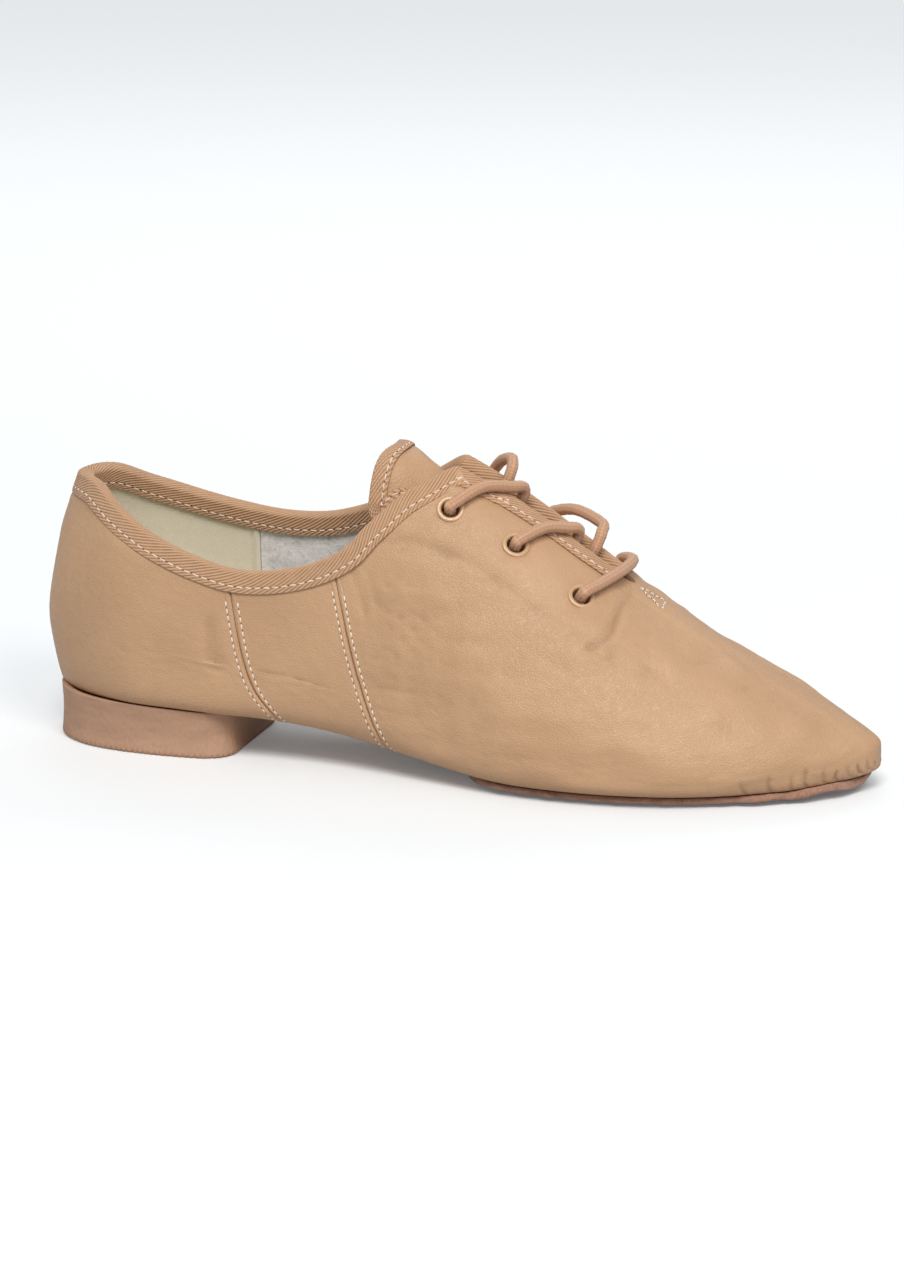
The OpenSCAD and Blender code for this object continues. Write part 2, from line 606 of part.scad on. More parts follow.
function lace_path() =
    let (
        a = [for (c = lace_half(LATERAL, 166, 145, 6.5, 3)) lace_control(c)],
        b = [for (c = lace_half(MEDIAL, 161, 140, 3, 6)) lace_control(c)],
        bar = below(frac(174.4), LATERAL, 2, -3.2)
    )
    smooth_line(concat([for (i = [len(a) - 1:-1:0]) a[i]], [bar], b), 3);

// Round rope along a path, its rings carried from one point to the next without twist
function carry(v, t) = unit(v - t * (v * t));
function frames(p, i, v) =
    i >= len(p) ? [] :
    let (t = unit(p[min(len(p) - 1, i + 1)] - p[max(0, i - 1)]), u = carry(v, t))
    concat([[t, u]], frames(p, i + 1, u));
module rope(p, r, sides) {
    axes = frames(p, 0, [0, 0, 1]);
    tube([for (i = [0:len(p) - 1])
        let (u = axes[i][1], w = cross(axes[i][0], u))
        [for (k = [0:sides - 1]) let (a = -360 * k / sides) p[i] + r * (u * cos(a) + w * sin(a))]]);
}
// Hard tips that go on from the lace ends
module aglets() {
    path = lace_path();
    color("peru")
    for (end = [[path[0], path[1]], [path[len(path) - 1], path[len(path) - 2]]]) {
        d = unit(end[0] - end[1]);
        translate(end[0] + 0.1 * d) rotate([0, acos(d[2]), atan2(d[1], d[0])])
            cylinder(h = 8, r = lace_d / 2 - 0.1, $fn = 24);
    }
}

// Bottom layer: rows along the shoe, columns across, out to v_edge
function bottom_grid(s0, s1, rows, across, v_edge) =
    [for (i = [0:rows]) [for (j = [-across:across])
        [mix(frac(s0), frac(s1), i / rows), j < 0 ? LATERAL : MEDIAL, v_edge * abs(j) / across]]];

// Suede sole under the ball of the foot: round at the back, flat on the floor in the middle
sole_gap = 0.25;
sole_back = 131;
function sole_reach(s) = 0.49 * sqrt(1 - pow(1 - min(1, (s - sole_back + 1.2) / 19), 2))
    * (1 - 0.45 * ease(s, 240, 247));
module forefoot_sole() {
    rows = [0, 2.5, 6, 11, 18, 27, 37, 47, 57, 67, 77, 87, 96, 103, 109, 112.5, 115];
    grid = [for (k = rows) [for (j = [-5:5])
        [frac(sole_back + k), j < 0 ? LATERAL : MEDIAL, sole_reach(sole_back + k) * abs(j) / 5]]];
    top = layer(grid, -sole_gap);
    under = [for (row = layer(grid, -sole_gap - sole_t))
        [for (p = row) [p[0], p[1], p[2] < 0.45 ? 0 : p[2]]]];
    color("rosybrown") shell(under, top);
}
module forefoot_filler() {
    color("tan") sheet(bottom_grid(132, 226, 10, 3, margin_v - 0.05), 0.1, lining_back - 0.1);
}
module forefoot_insole() {
    color("beige") sheet(bottom_grid(124, 238, 11, 4, 0.47), board_depth, board_t);
}
module heel_filler() {
    color("tan") sheet(bottom_grid(10, 56, 6, 3, margin_v - 0.05), 0.1, lining_back - 0.1);
}
module heel_insole_board() {
    color("peru") sheet(bottom_grid(5, 66, 9, 5, 0.46), board_depth, board_t);
}
module heel_pad() {
    color("lightgray") sheet(bottom_grid(9, 56, 7, 4, 0.42), board_depth + board_t + 0.15, pad_t);
}
// Full-length sock, lifted over the heel pad
function sock_depth(s) = board_depth + board_t + 0.3 + (pad_t + 0.15) * (1 - ease(s, 58, 72));
module sock_liner() {
    grid = bottom_grid(6.5, 236, 22, 3, 0.44);
    color("whitesmoke")
    shell([for (row = grid) [for (p = row) below(p[0], p[1], p[2], sock_depth(station(p[0])))]],
        [for (row = grid) [for (p = row) below(p[0], p[1], p[2], sock_depth(station(p[0])) + sock_t)]]);
}

// Rubber heel: D-shaped block with a straight breast, a sloping seat and a finely toothed foot
heel_outline = [[0, 0], [1.4, 7.5], [5.2, 14.2], [12.4, 20], [22.4, 23.5], [35.4, 25], [47, 24.9],
    [52.4, 24.4]];
heel_back = 3.9;
breast = 63.4;
breast_round = 8;
function heel_side(inset) =
    concat([for (k = smooth_line(concat([[0, -1]], heel_outline), 3)) if (k[1] >= 0)
            [heel_back + inset + k[0] * (1 - inset / 60), max(0, k[1] - inset)]],
        [for (a = [75:-15:0]) [breast - inset - breast_round * (1 - cos(a)),
            24.1 - inset - breast_round * (1 - sin(a))]]);
function heel_ring(inset) =
    let (half = heel_side(inset), n = len(half))
    let (mirrored = [for (i = [n - 1:-1:1]) [half[i][0], -half[i][1]]])
    grade * [for (p = concat(half, mirrored)) [p[0] - heel_centre, p[1]]];
function toothed(ring, depth, teeth) =
    [for (i = [0:len(ring) - 1]) each
        let (a = ring[i], b = ring[(i + 1) % len(ring)], n = max(1, round(norm(b - a) / teeth)))
        [for (k = [0:n - 1]) each
            let (root = mix(a, b, (k + 0.5) / n))
            [mix(a, b, k / n), root * (1 - depth / norm(root))]]];
module heel_block() {
    foot = 0.8;
    seat_drop = 2.4;
    color("rosybrown")
    difference() {
        union() {
            linear_extrude(foot) polygon(toothed(heel_ring(0.5), 0.5, 1.6));
            translate([0, 0, foot]) linear_extrude(1) polygon(heel_ring(0.4));
            translate([0, 0, foot + 1]) linear_extrude(heel_height) polygon(heel_ring(0));
        }
        translate([-heel_centre * grade, -50, heel_height]) rotate([0, atan(seat_drop / breast), 0])
            cube([100, 100, 20]);
    }
}
// Nails that hold the heel to the insole board
module heel_nails() {
    color("silver")
    for (p = [[14, 0], [30, 7], [30, -7], [50, 7], [50, -7]])
        translate([(p[0] - heel_centre) * grade, p[1], 5]) cylinder(h = 12, r = 0.8, $fn = 24);
}

// Two rows of thread beside a seam, on both sides of the shoe
row_offset = 1.8;
module seam_stitches(seam) {
    low = 0.45;
    for (side = [LATERAL, MEDIAL], offset = [-row_offset, row_offset]) {
        high = edge_v(frac(top_of(seam, side)), side) - 0.14;
        places = [for (b = shares(18)) let (v = mix(low, high, b)) [frac(seam_at(seam, side, v) + offset), v]];
        thread([for (p = places) below(p[0], side, p[1], -0.12)], [for (p = places) normal(p[0], side, p[1])]);
    }
}
module heel_seam_stitches() {
    color("white") seam_stitches(heel_seam);
}
module vamp_seam_stitches() {
    color("white") seam_stitches(vamp_seam);
}
// Line of thread along the binding
module binding_stitches() {
    row = binding_w * 0.72;
    points = [for (i = [-binding_steps:binding_steps]) off_edge(i, row, 0.4 + binding_t)];
    ups = [for (i = [-binding_steps:binding_steps]) let (p = edge_place(i)) normal(p[0], p[1], p[2])];
    color("linen") thread(points, ups);
}
// Small triangle of stitches that stops the throat from tearing
module throat_bar_tack() {
    corners = [[throat + 2, -1.6], [throat + 9, -3.4], [throat + 8, 2.6]];
    function tack_point(c) =
        let (f = frac(c[0]), side = c[1] < 0 ? LATERAL : MEDIAL, v = 1 + acos(pow(abs(c[1]) / 42, 0.9)) / 90)
        below(f, side, v, -0.45);
    color("white")
    for (i = [0:2], k = [0:3]) {
        a = mix(corners[i], corners[(i + 1) % 3], (k + 0.15) / 4);
        b = mix(corners[i], corners[(i + 1) % 3], (k + 0.85) / 4);
        d = tack_point(b) - tack_point(a);
        translate(tack_point(a)) rotate([0, acos(d[2] / norm(d)), atan2(d[1], d[0])])
            cylinder(h = norm(d), r = thread_r, $fn = 16);
    }
}

vamp();
arch_panel();
heel_quarter_lateral();
heel_quarter_medial();
vamp_lining();
arch_lining();
heel_lining();
heel_counter();
heel_seam_tape();
vamp_seam_tape();
facing_stay_lateral();
facing_stay_medial();
topline_binding();
tongue();
tongue_lining();
tongue_binding();
eyelets();
eyelet_washers();
lace();
aglets();
forefoot_sole();
forefoot_filler();
forefoot_insole();
heel_block();
heel_filler();
heel_insole_board();
heel_pad();
heel_nails();
sock_liner();
heel_seam_stitches();
vamp_seam_stitches();
binding_stitches();
tongue_binding_stitches();
throat_bar_tack();
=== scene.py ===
"""Looks of the lace-up split-sole jazz shoe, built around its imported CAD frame.

Lengths are in millimetres until a mesh is made; meshes are in metres, in the row frame.
The upper is one smooth skin: f runs from the heel back (0) to the toe tip (1), v runs up a
cross-section from the bottom centre (0) through the widest height (1) to the ridge (2), and
side is -1 on the outer (lateral) and +1 on the inner (medial) half.
"""

import json
import math

import bpy
import numpy as np
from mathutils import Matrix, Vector


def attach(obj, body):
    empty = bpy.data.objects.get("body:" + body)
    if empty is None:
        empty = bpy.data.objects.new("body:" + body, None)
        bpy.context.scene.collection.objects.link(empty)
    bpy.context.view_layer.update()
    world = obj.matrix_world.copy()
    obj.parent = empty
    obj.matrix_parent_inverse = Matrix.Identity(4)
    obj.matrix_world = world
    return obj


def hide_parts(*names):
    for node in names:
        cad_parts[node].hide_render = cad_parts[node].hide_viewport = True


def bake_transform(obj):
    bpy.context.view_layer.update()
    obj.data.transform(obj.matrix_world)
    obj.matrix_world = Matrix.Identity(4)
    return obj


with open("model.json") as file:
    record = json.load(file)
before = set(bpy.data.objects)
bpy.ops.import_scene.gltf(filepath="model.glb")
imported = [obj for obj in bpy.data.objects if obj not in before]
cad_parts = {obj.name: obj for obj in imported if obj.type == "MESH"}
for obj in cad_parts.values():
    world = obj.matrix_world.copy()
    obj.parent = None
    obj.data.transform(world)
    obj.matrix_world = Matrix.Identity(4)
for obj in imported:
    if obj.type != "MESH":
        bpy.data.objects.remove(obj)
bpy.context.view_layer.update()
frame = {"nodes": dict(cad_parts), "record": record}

MM = 0.001
LATERAL, MEDIAL = -1.0, 1.0
LENGTH = 250.0
HEEL_CENTRE = 33.0
THROAT = 178.0
STEP = 0.004

# A layer's DEPTH is how far its outer face lies below the skin, and its T is its thickness
LEATHER_T = 1.1
LINING_DEPTH, LINING_T = 2.1, 0.6
LINING_BACK = LINING_DEPTH + LINING_T
TAPE_DEPTH, TAPE_T = 1.4, 0.3
SOCK_T = 0.7
MARGIN_V = 0.3
SEAM_GAP = 0.1
LINING_JOIN = 57.5
BINDING_W, BINDING_END = 5.6, 172.5

# Station and v of each eyelet; how far along its axis a hole reaches
EYELETS = [(128.6, 1.65), (147.8, 1.68), (167.5, 1.66)]
EYELET_REACH = 8

# Pitch, length, radius and lift of the stitches
SEAM_STITCH = (2.1, 1.66, 0.2, 0.1)
BINDING_STITCH = (2.7, 2.1, 0.21, 0.12)
TACK_STITCH = (1.75, 1.5, 0.2, 0.16)
# Start of the first stitch, how deep the stitches dive, and the radius of the dark beads of painted
# shade sunk at each needle hole
STITCH_START, STITCH_DIVE, HOLE_SHADE_R = 0.5, 0.35, 0.19
ROW_OFFSET = 1.8


# ---------------------------------------------------------------- smooth curves and noise
def frac(s):
    return np.arccos(np.clip(1 - 2 * np.asarray(s, float) / LENGTH, -1, 1)) / np.pi


def station(f):
    return LENGTH * (1 - np.cos(np.pi * f)) / 2


class Curve:
    """Smooth curve through a table of points."""

    def __init__(self, rows, key=lambda x: x):
        rows = np.array(rows, float)
        self.x, self.y = key(rows[:, 0]), rows[:, 1]
        ahead = np.minimum(np.arange(len(rows)) + 1, len(rows) - 1)
        back = np.maximum(np.arange(len(rows)) - 1, 0)
        self.slope = (self.y[ahead] - self.y[back]) / (self.x[ahead] - self.x[back])

    def __call__(self, x):
        i = np.clip(np.searchsorted(self.x, x, side="right") - 1, 0, len(self.x) - 2)
        h = self.x[i + 1] - self.x[i]
        e = (x - self.x[i]) / h
        return (self.y[i] * (1 + 2 * e) * (1 - e) ** 2 + self.slope[i] * h * e * (1 - e) ** 2
                + self.y[i + 1] * e * e * (3 - 2 * e) + self.slope[i + 1] * h * e * e * (e - 1))


def ease(x, low, high):
    e = np.clip((np.asarray(x, float) - low) / (high - low), 0, 1)
    return e * e * (3 - 2 * e)


def bell(x, width):
    return np.exp(-(np.asarray(x) / width) ** 2)


def mix(a, b, e):
    return a + (b - a) * e


def unit(p):
    return p / np.maximum(np.linalg.norm(p, axis=-1, keepdims=True), 1e-12)


def waves(p, length, seed, count=14, stretch=(1, 1, 1)):
    """Smooth noise of about unit size with features of a given length."""
    rng = np.random.default_rng(seed)
    total = np.zeros(p.shape[:-1])
    for _ in range(count):
        way = unit(rng.normal(size=3)) * np.array(stretch)
        total += np.cos(p @ way * 2 * np.pi / (length * rng.uniform(0.7, 1.5)) + rng.uniform(0, 7))
    return total / math.sqrt(count / 2)


# ---------------------------------------------------------------- the skin of the upper
half_width = {
    LATERAL: Curve([[0, 0], [12, 18.5], [30, 27], [50, 28.5], [75, 27.5], [100, 29.5], [130, 36],
                    [155, 41.5], [178, 42.5], [200, 38.5], [225, 26.5], [242, 13], [250, 0]], frac),
    MEDIAL: Curve([[0, 0], [12, 18.5], [30, 27], [50, 28], [75, 25.5], [100, 25.5], [130, 31],
                   [155, 36.5], [178, 38.5], [200, 35], [225, 24.5], [242, 12], [250, 0]], frac)}
centre_y = Curve([[0, 0], [60, 0], [120, 1], [180, 2.5], [250, 4]], frac)
bottom_z = Curve([[0, 14.5], [40, 13.3], [66, 12.2], [85, 10.5], [110, 6.5], [135, 2.8], [150, 1.9],
                  [195, 1.9], [215, 2.2], [235, 3.2], [250, 7]], frac)
widest_z = Curve([[0, 37], [40, 33], [62, 30], [85, 28], [110, 23], [135, 18], [155, 15],
                  [190, 12.5], [215, 11.5], [235, 11], [250, 10.5]], frac)
ridge_z = Curve([[0, 98], [40, 98], [62, 101], [85, 103], [105, 100], [120, 93.5], [135, 85.2],
                 [150, 75.5], [165, 64.8], [180, 54.3], [195, 45], [210, 36.5], [225, 28.5],
                 [238, 21.5], [246, 17], [250, 13.5]], frac)
lower_power = Curve([[0, 6], [55, 6], [75, 5], [100, 4], [130, 4.5], [155, 5.5], [225, 5],
                     [242, 3.8], [250, 2.8]], frac)
upper_power = Curve([[0, 2], [60, 2], [100, 1.9], [130, 1.85], [160, 1.8], [200, 1.8],
                     [250, 2]], frac)
heel_lean = Curve([[0, 8], [14, 4], [38, 0], [60, 4], [70, 7.5], [78, 10.5], [100, 16]])
topline = {
    LATERAL: Curve([[0, 78], [8, 78], [14, 76.6], [28, 70.4], [42, 64.3], [56, 59.5], [67, 57],
                    [79, 57.6], [91, 60.9], [100, 66], [106, 73], [114, 81], [121, 85.4],
                    [128, 90], [140, 99]], frac),
    MEDIAL: Curve([[0, 78], [8, 77.6], [22, 72.5], [39, 67.8], [56, 64.8], [68, 64], [80, 64.8],
                   [90, 67.5], [98, 71], [107, 76.8], [116, 82.6], [123, 87.6], [130, 93],
                   [140, 100]], frac)}
facing_gap = Curve([[100, 6.6], [128, 6.2], [150, 4.4], [165, 3.5], [174, 2.3], [178, 1.4],
                    [200, 0]], frac)


def pick(curves, side, f):
    return np.where(side < 0, curves[LATERAL](f), curves[MEDIAL](f))


def skin(f, side, v):
    """Points of the skin."""
    f, side, v = np.broadcast_arrays(np.asarray(f, float), side, np.asarray(v, float))
    w = pick(half_width, side, f)
    p, q = lower_power(f), upper_power(f)
    low = np.clip(v, 0, 1)
    warp = low ** (p / 2) / (low ** (p / 2) + (1 - low) ** (p / 2))
    a, b = np.pi / 2 * warp, np.pi / 2 * np.clip(v - 1, 0, 1)
    upper = v > 1
    y = w * np.where(upper, np.cos(b).clip(0) ** (2 / q), np.sin(a).clip(0) ** (2 / p))
    zb, zw, zt = bottom_z(f), widest_z(f), ridge_z(f)
    z = zw + np.where(upper, (zt - zw) * np.sin(b).clip(0) ** (2 / q),
                      (zb - zw) * np.cos(a).clip(0) ** (2 / p))
    s = station(f)
    x = s - HEEL_CENTRE + heel_lean(z) * np.maximum(0, 1 - s / 70) ** 1.5
    return np.stack([x, side * y + centre_y(f), z], -1)


def skin_and_normal(f, side, v):
    """Points, outward normals and the millimetres per unit of f and of v."""
    f, side, v = np.broadcast_arrays(np.asarray(f, float), side, np.asarray(v, float))
    g, h = np.clip(f, STEP, 1 - STEP), np.clip(v, 2 * STEP, 2 - STEP)
    along = skin(g + STEP, side, h) - skin(g - STEP, side, h)
    across = skin(g, side, h + STEP) - skin(g, side, h - STEP)
    n = side[..., None] * np.cross(across, along)
    centred = (f < 1e-4) | (f > 1 - 1e-4) | (v < 1e-4) | (v > 2 - 1e-4)
    n[..., 1] = np.where(centred, 0, n[..., 1])
    lengths = [np.linalg.norm(d, axis=-1) / (2 * STEP) for d in (along, across)]
    return skin(f, side, np.minimum(v, 2)), unit(n), lengths[0], lengths[1]


def below(f, side, v, depth):
    p, n, _, _ = skin_and_normal(f, side, v)
    return p - np.asarray(depth)[..., None] * n


def v_at_height(f, z):
    r = np.clip((z - widest_z(f)) / (ridge_z(f) - widest_z(f)), 0, 1.3)
    return 1 + np.where(r < 1, np.arcsin(np.minimum(r, 1) ** (upper_power(f) / 2)) * 2 / np.pi, r)


def v_off_ridge(f, side, y):
    """v at a distance across from the ridge."""
    share = np.clip(y / np.maximum(pick(half_width, side, f), 1e-6), 0, 1)
    return 1 + np.arccos(share ** (upper_power(f) / 2)) * 2 / np.pi


def edge_v(f, side):
    """v of the top edge: topline, then facing edge, then the closed ridge."""
    f, side = np.broadcast_arrays(np.asarray(f, float), side)
    s = station(f)
    low, gap = v_at_height(f, pick(topline, side, f)), v_off_ridge(f, side, facing_gap(f))
    r = 0.1 * ease(s, 100, 110)
    corner = (low + gap - np.sqrt((low - gap) ** 2 + r * r)) / 2
    v = np.where(s > 140, gap, np.where(s > 100, corner, low))
    return np.where(s >= THROAT - 1e-4, 2.0, v)


class Seam:
    """A seam line across the upper: stations against height."""

    def __init__(self, line, reference):
        self.line, self.reference = Curve(line), reference
        self.top = {}
        for side in (LATERAL, MEDIAL):
            s = float(reference)
            for _ in range(6):
                s = float(self.at(side, edge_v(frac(s), side)))
            self.top[side] = s

    def at(self, side, v):
        return self.line(skin(frac(self.reference), side, v)[..., 2])

    def f(self, side, b, shift):
        return frac(self.at(side, mix(MARGIN_V, edge_v(frac(self.top[side]), side), b)) + shift)


heel_seam = Seam([[11, 80.8], [16, 77.9], [23, 72.8], [30, 69.9], [42, 67.1], [58, 64.3],
                  [75, 62.5]], 69)
vamp_seam = Seam([[5, 116], [12, 112.4], [21, 108.5], [32, 104.3], [45, 100.2], [58, 96.6],
                  [75, 92.6]], 100)


# ---------------------------------------------------------------- meshes
def grid_faces(rows, cols, ids=None):
    ids = np.arange(rows * cols).reshape(rows, cols) if ids is None else ids
    return np.stack([ids[:-1, :-1], ids[:-1, 1:], ids[1:, 1:], ids[1:, :-1]], -1).reshape(-1, 4)


def boundary(faces):
    """Edges that belong to one face only, in that face's direction."""
    edges = np.concatenate([np.stack([faces[:, k], faces[:, (k + 1) % 4]], 1) for k in range(4)])
    edges = edges[edges[:, 0] != edges[:, 1]]
    size = int(faces.max()) + 1
    forward, back = edges[:, 0] * size + edges[:, 1], edges[:, 1] * size + edges[:, 0]
    return edges[~np.isin(forward, back)]


def shell_faces(faces, count):
    """A closed shell from a sheet: the sheet, its copy facing the other way, and its edge walls."""
    rim = boundary(faces)
    walls = np.stack([rim[:, 1], rim[:, 0], rim[:, 0] + count, rim[:, 1] + count], 1)
    return np.concatenate([faces, faces[:, ::-1] + count, walls])


def linked(name, data):
    """A new object in the scene."""
    obj = bpy.data.objects.new(name, data)
    bpy.context.scene.collection.objects.link(obj)
    return obj


def mesh_object(name, points, faces, attributes=None, sharp=50):
    """A mesh from points in millimetres; each point keeps its rest place for the materials."""
    points = np.asarray(points, float).reshape(-1, 3)
    mesh = bpy.data.meshes.new(name)
    clean = []
    for face in faces.tolist() if isinstance(faces, np.ndarray) else faces:
        loop = [k for i, k in enumerate(face) if k != face[i - 1]]
        if len(set(loop)) > 2:
            clean.append(loop)
    mesh.from_pydata((points * MM).tolist(), [], clean)
    mesh.polygons.foreach_set("use_smooth", np.ones(len(mesh.polygons), bool))
    if sharp:
        mesh.set_sharp_from_angle(angle=math.radians(sharp))
    store = mesh.attributes.new("rest", "FLOAT_VECTOR", "POINT")
    store.data.foreach_set("vector", (points * MM).astype(np.float32).ravel())
    for key, values in (attributes or {}).items():
        values = np.asarray(values, np.float32)
        flat = values.ndim == 1
        store = mesh.attributes.new(key, "FLOAT" if flat else "FLOAT_VECTOR", "POINT")
        store.data.foreach_set("value" if flat else "vector", values.ravel())
    mesh.validate()
    mesh.update()
    return linked(name, mesh)


def facing_out(faces, points, normals):
    """The faces, turned round if they look against the normals."""
    a, b, c = (points[faces[:, k]] for k in range(3))
    turn = np.einsum("ij,ij->i", np.cross(b - a, c - a), normals[faces[:, 0]]).sum()
    return faces if turn > 0 else faces[:, ::-1]


def tube(rings):
    """Points and faces of a tube through rings of points, with capped ends."""
    n, k = rings.shape[:2]
    ids = np.arange(n * k).reshape(n, k)
    ids = np.concatenate([ids, ids[:, :1]], 1)
    faces = grid_faces(n, k + 1, ids).tolist()
    faces += [ids[0, :k].tolist(), ids[-1, :k][::-1].tolist()]
    return rings.reshape(-1, 3), faces


def joined(parts):
    """One list of points and faces from several."""
    points, faces, start = [], [], 0
    for p, fs in parts:
        points.append(p)
        faces += [[i + start for i in f] for f in fs]
        start += len(p)
    return np.concatenate(points), faces


def path_lengths(points):
    """Length of a polyline up to each of its points."""
    return np.concatenate([[0], np.cumsum(np.linalg.norm(np.diff(points, axis=0), axis=1))])


def along_path(points, spacing):
    """Even places along a polyline: where they fall in its index, and the length up to them."""
    lengths = path_lengths(points)
    places = np.linspace(0, lengths[-1], max(2, int(round(lengths[-1] / spacing)) + 1))
    return np.interp(places, lengths, np.arange(len(points))), places


def sample(values, index):
    grid = np.arange(len(values))
    return np.stack([np.interp(index, grid, values[:, k]) for k in range(values.shape[1])], 1)


# ---------------------------------------------------------------- relief of the leather
STAY_LINE = Curve([[108, 1.434], [119, 1.5], [127, 1.525], [136, 1.537], [153, 1.533],
                   [170, 1.521], [180, 1.5]])
LATERAL_GROOVES = [
    # places (station, v), width, depth and rise beyond it
    ([(177.9, 1.82), (177.6, 1.68), (176.7, 1.56), (172.2, 1.47), (168.3, 1.4)], 1.3, 0.62, 0.3),
    ([(168, 1.375), (162, 1.36), (155, 1.37)], 1.4, 0.3, 0.1),
    ([(101.7, 1.335), (103.1, 1.3), (105.7, 1.26), (107, 1.2)], 1.1, 0.5, 0.2),
    ([(105.5, 1.345), (108.5, 1.29), (112, 1.25)], 1.3, 0.25, 0.12),
    ([(59.2, 1.14), (59.7, 1.09), (60.1, 1.03), (61.9, 0.98), (65, 0.9)], 2.4, 0.85, 0.3),
    ([(196.4, 1.11), (203.3, 1.19), (208.1, 1.27), (212.9, 1.35), (214.8, 1.45)], 2.6, 0.35, 0.15),
    ([(137, 1.46), (144, 1.41), (152, 1.35), (160, 1.29), (170, 1.2)], 5.5, 0.5, 0.0),
    ([(184, 1.75), (187, 1.6), (190, 1.45)], 3.5, 0.35, 0.2)]
MEDIAL_GROOVES = [
    ([(177.5, 1.82), (177, 1.66), (175.5, 1.55), (170, 1.45)], 1.4, 0.55, 0.25),
    ([(103, 1.36), (104.5, 1.3), (107, 1.24)], 1.2, 0.45, 0.2),
    ([(60.5, 1.12), (61, 1.05), (63, 0.96)], 2.4, 0.7, 0.3),
    ([(199, 1.14), (206, 1.22), (211, 1.31)], 2.6, 0.3, 0.15),
    ([(140, 1.45), (150, 1.37), (162, 1.27)], 5.5, 0.45, 0.0)]
GROOVES = {LATERAL: LATERAL_GROOVES, MEDIAL: MEDIAL_GROOVES}
PLEATS = np.array([209, 217.5, 224, 229.5, 233, 237.4, 240.2, 243.4, 245.9, 248, 249.2])


def spline(points, n):
    """Smooth line through points, n places per stretch."""
    points = np.asarray(points, float)
    p = np.concatenate([points[:1], points, points[-1:]])
    out = []
    for i in range(len(points) - 1):
        a, b, c, d = p[i:i + 4]
        e = (np.arange(n) / n)[:, None]
        out.append(0.5 * (2 * b + (c - a) * e + (2 * a - 5 * b + 4 * c - d) * e ** 2
                          + (3 * b - a - 3 * c + d) * e ** 3))
    return np.concatenate(out + [points[-1:]])


def to_line(points, line):
    """Distance to a polyline, the share along it, and the side on which a point lies (in x, z)."""
    best = np.full(len(points), 1e9)
    share = np.zeros(len(points))
    sign = np.ones(len(points))
    for i in range(len(line) - 1):
        a, d = line[i], line[i + 1] - line[i]
        t = np.clip((points - a) @ d / (d @ d), 0, 1)
        gap = points - a - t[:, None] * d
        far = np.linalg.norm(gap, axis=1)
        near = far < best
        best = np.where(near, far, best)
        share = np.where(near, (i + t) / (len(line) - 1), share)
        sign = np.where(near, np.sign(d[0] * gap[:, 2] - d[2] * gap[:, 0]), sign)
    return best, share, sign


# Limit on how deep the relief goes; how far the stay lifts the leather and sinks it round its edge
DEEPEST = 0.68
STAY_LIFT, STAY_GROOVE = 0.36, 0.14
# How far from its middle a crease is looked for
GROOVE_REACH = 45


def soft_relief(s, v, p, free):
    """Slack of the leather, and fine wrinkles of the soft side and of the flex area."""
    toe = ease(s, 95, 115)
    height = free * (0.34 * waves(p, 24, 3) * mix(0.5, 1, toe) + 0.13 * waves(p, 11, 5) * toe)
    soft = bell(s - 120, 16) * bell(v - 1.24, 0.2) + 0.45 * bell(s - 86, 9) * bell(v - 1.1, 0.25)
    soft += 0.5 * bell(s - 186, 12) * bell(v - 1.55, 0.2)
    height += free * soft * 0.09 * waves(p, 3.6, 8, 22, (0.9, 1, 1.3))
    return height + free * 0.025 * waves(p, 2.4, 9, 18)


def stay_relief(s, v, across_mm, free):
    """The stiff area round the eyelets stands above the soft leather round it."""
    inside = np.minimum((v - STAY_LINE(s)) * across_mm, 177 - s)
    stay = ease(s, 104, 118) * ease(183 - s, 0, 4) * free
    return stay * (STAY_LIFT * ease(inside, -1.8, 1.2) - STAY_GROOVE * bell(inside + 2.2, 1.3))


def groove_relief(side, p, free):
    """Creases and dents, each fading out at both ends of its line."""
    flat = p.reshape(-1, 3)
    height = np.zeros(free.shape)
    for where, width, depth, rise in GROOVES[float(side)]:
        sv = spline(where, 6)
        line = skin(frac(sv[:, 0]), side, sv[:, 1])
        near = np.abs(flat - line.mean(0)).max(1) < GROOVE_REACH
        d, share, sign = to_line(flat[near], line)
        fade = ease(share, 0, 0.25) * ease(1 - share, 0, 0.3)
        patch = np.zeros(len(flat))
        beyond = rise * bell(d - 1.9 * width, width) * (sign > 0)
        patch[near] = fade * (beyond - depth * bell(d, width))
        height += patch.reshape(height.shape) * free
    return height


def pleat_relief(f, side, v, along_mm):
    """Pleats gathered into the sole seam at the toe."""
    rng = np.random.default_rng(11 if side < 0 else 12)
    height = np.zeros(f.shape)
    for s in PLEATS:
        width, deep, high = rng.uniform(0.5, 1.1), rng.uniform(0.3, 0.95), rng.uniform(0.84, 1.06)
        bend = frac(s) + rng.uniform(-0.02, 0.02) * (v - 0.6)
        d = (f - bend) * along_mm
        up = ease(s, 203, 226) * ease(v, 0.5, 0.6) * ease(high - v, 0, 0.22)
        height += up * (0.22 * bell(np.abs(d) - 1.15, 0.7) - deep * bell(d, width))
    return height


def seam_relief(s, side, v, p, free):
    """Butt seams: rolled edges, a low rib on each side and the sunk rows of thread."""
    height = np.zeros(s.shape)
    for seam in (heel_seam, vamp_seam):
        d = np.abs(s - seam.at(side, v))
        height += -0.75 * bell(d, 0.32) - 0.14 * bell(d, 1.0) + 0.13 * bell(d - 1.05, 0.42)
        height += -0.16 * bell(d - ROW_OFFSET, 0.28) - 0.1 * bell(d - 2.6, 1.2) * free
    return height - 0.4 * bell(p[..., 1], 0.4) * (s < 12) * ease(v, 0.5, 0.6)


def eyelet_relief(side, p):
    """Leather pulled down at each eyelet."""
    height = np.zeros(p.shape[:-1])
    for s, v in EYELETS:
        d = np.linalg.norm(p - skin(frac(s), side, v), axis=-1)
        height -= 0.18 * bell(d - 4.2, 1.1) + 0.15 * bell(d, 3.4)
    return height


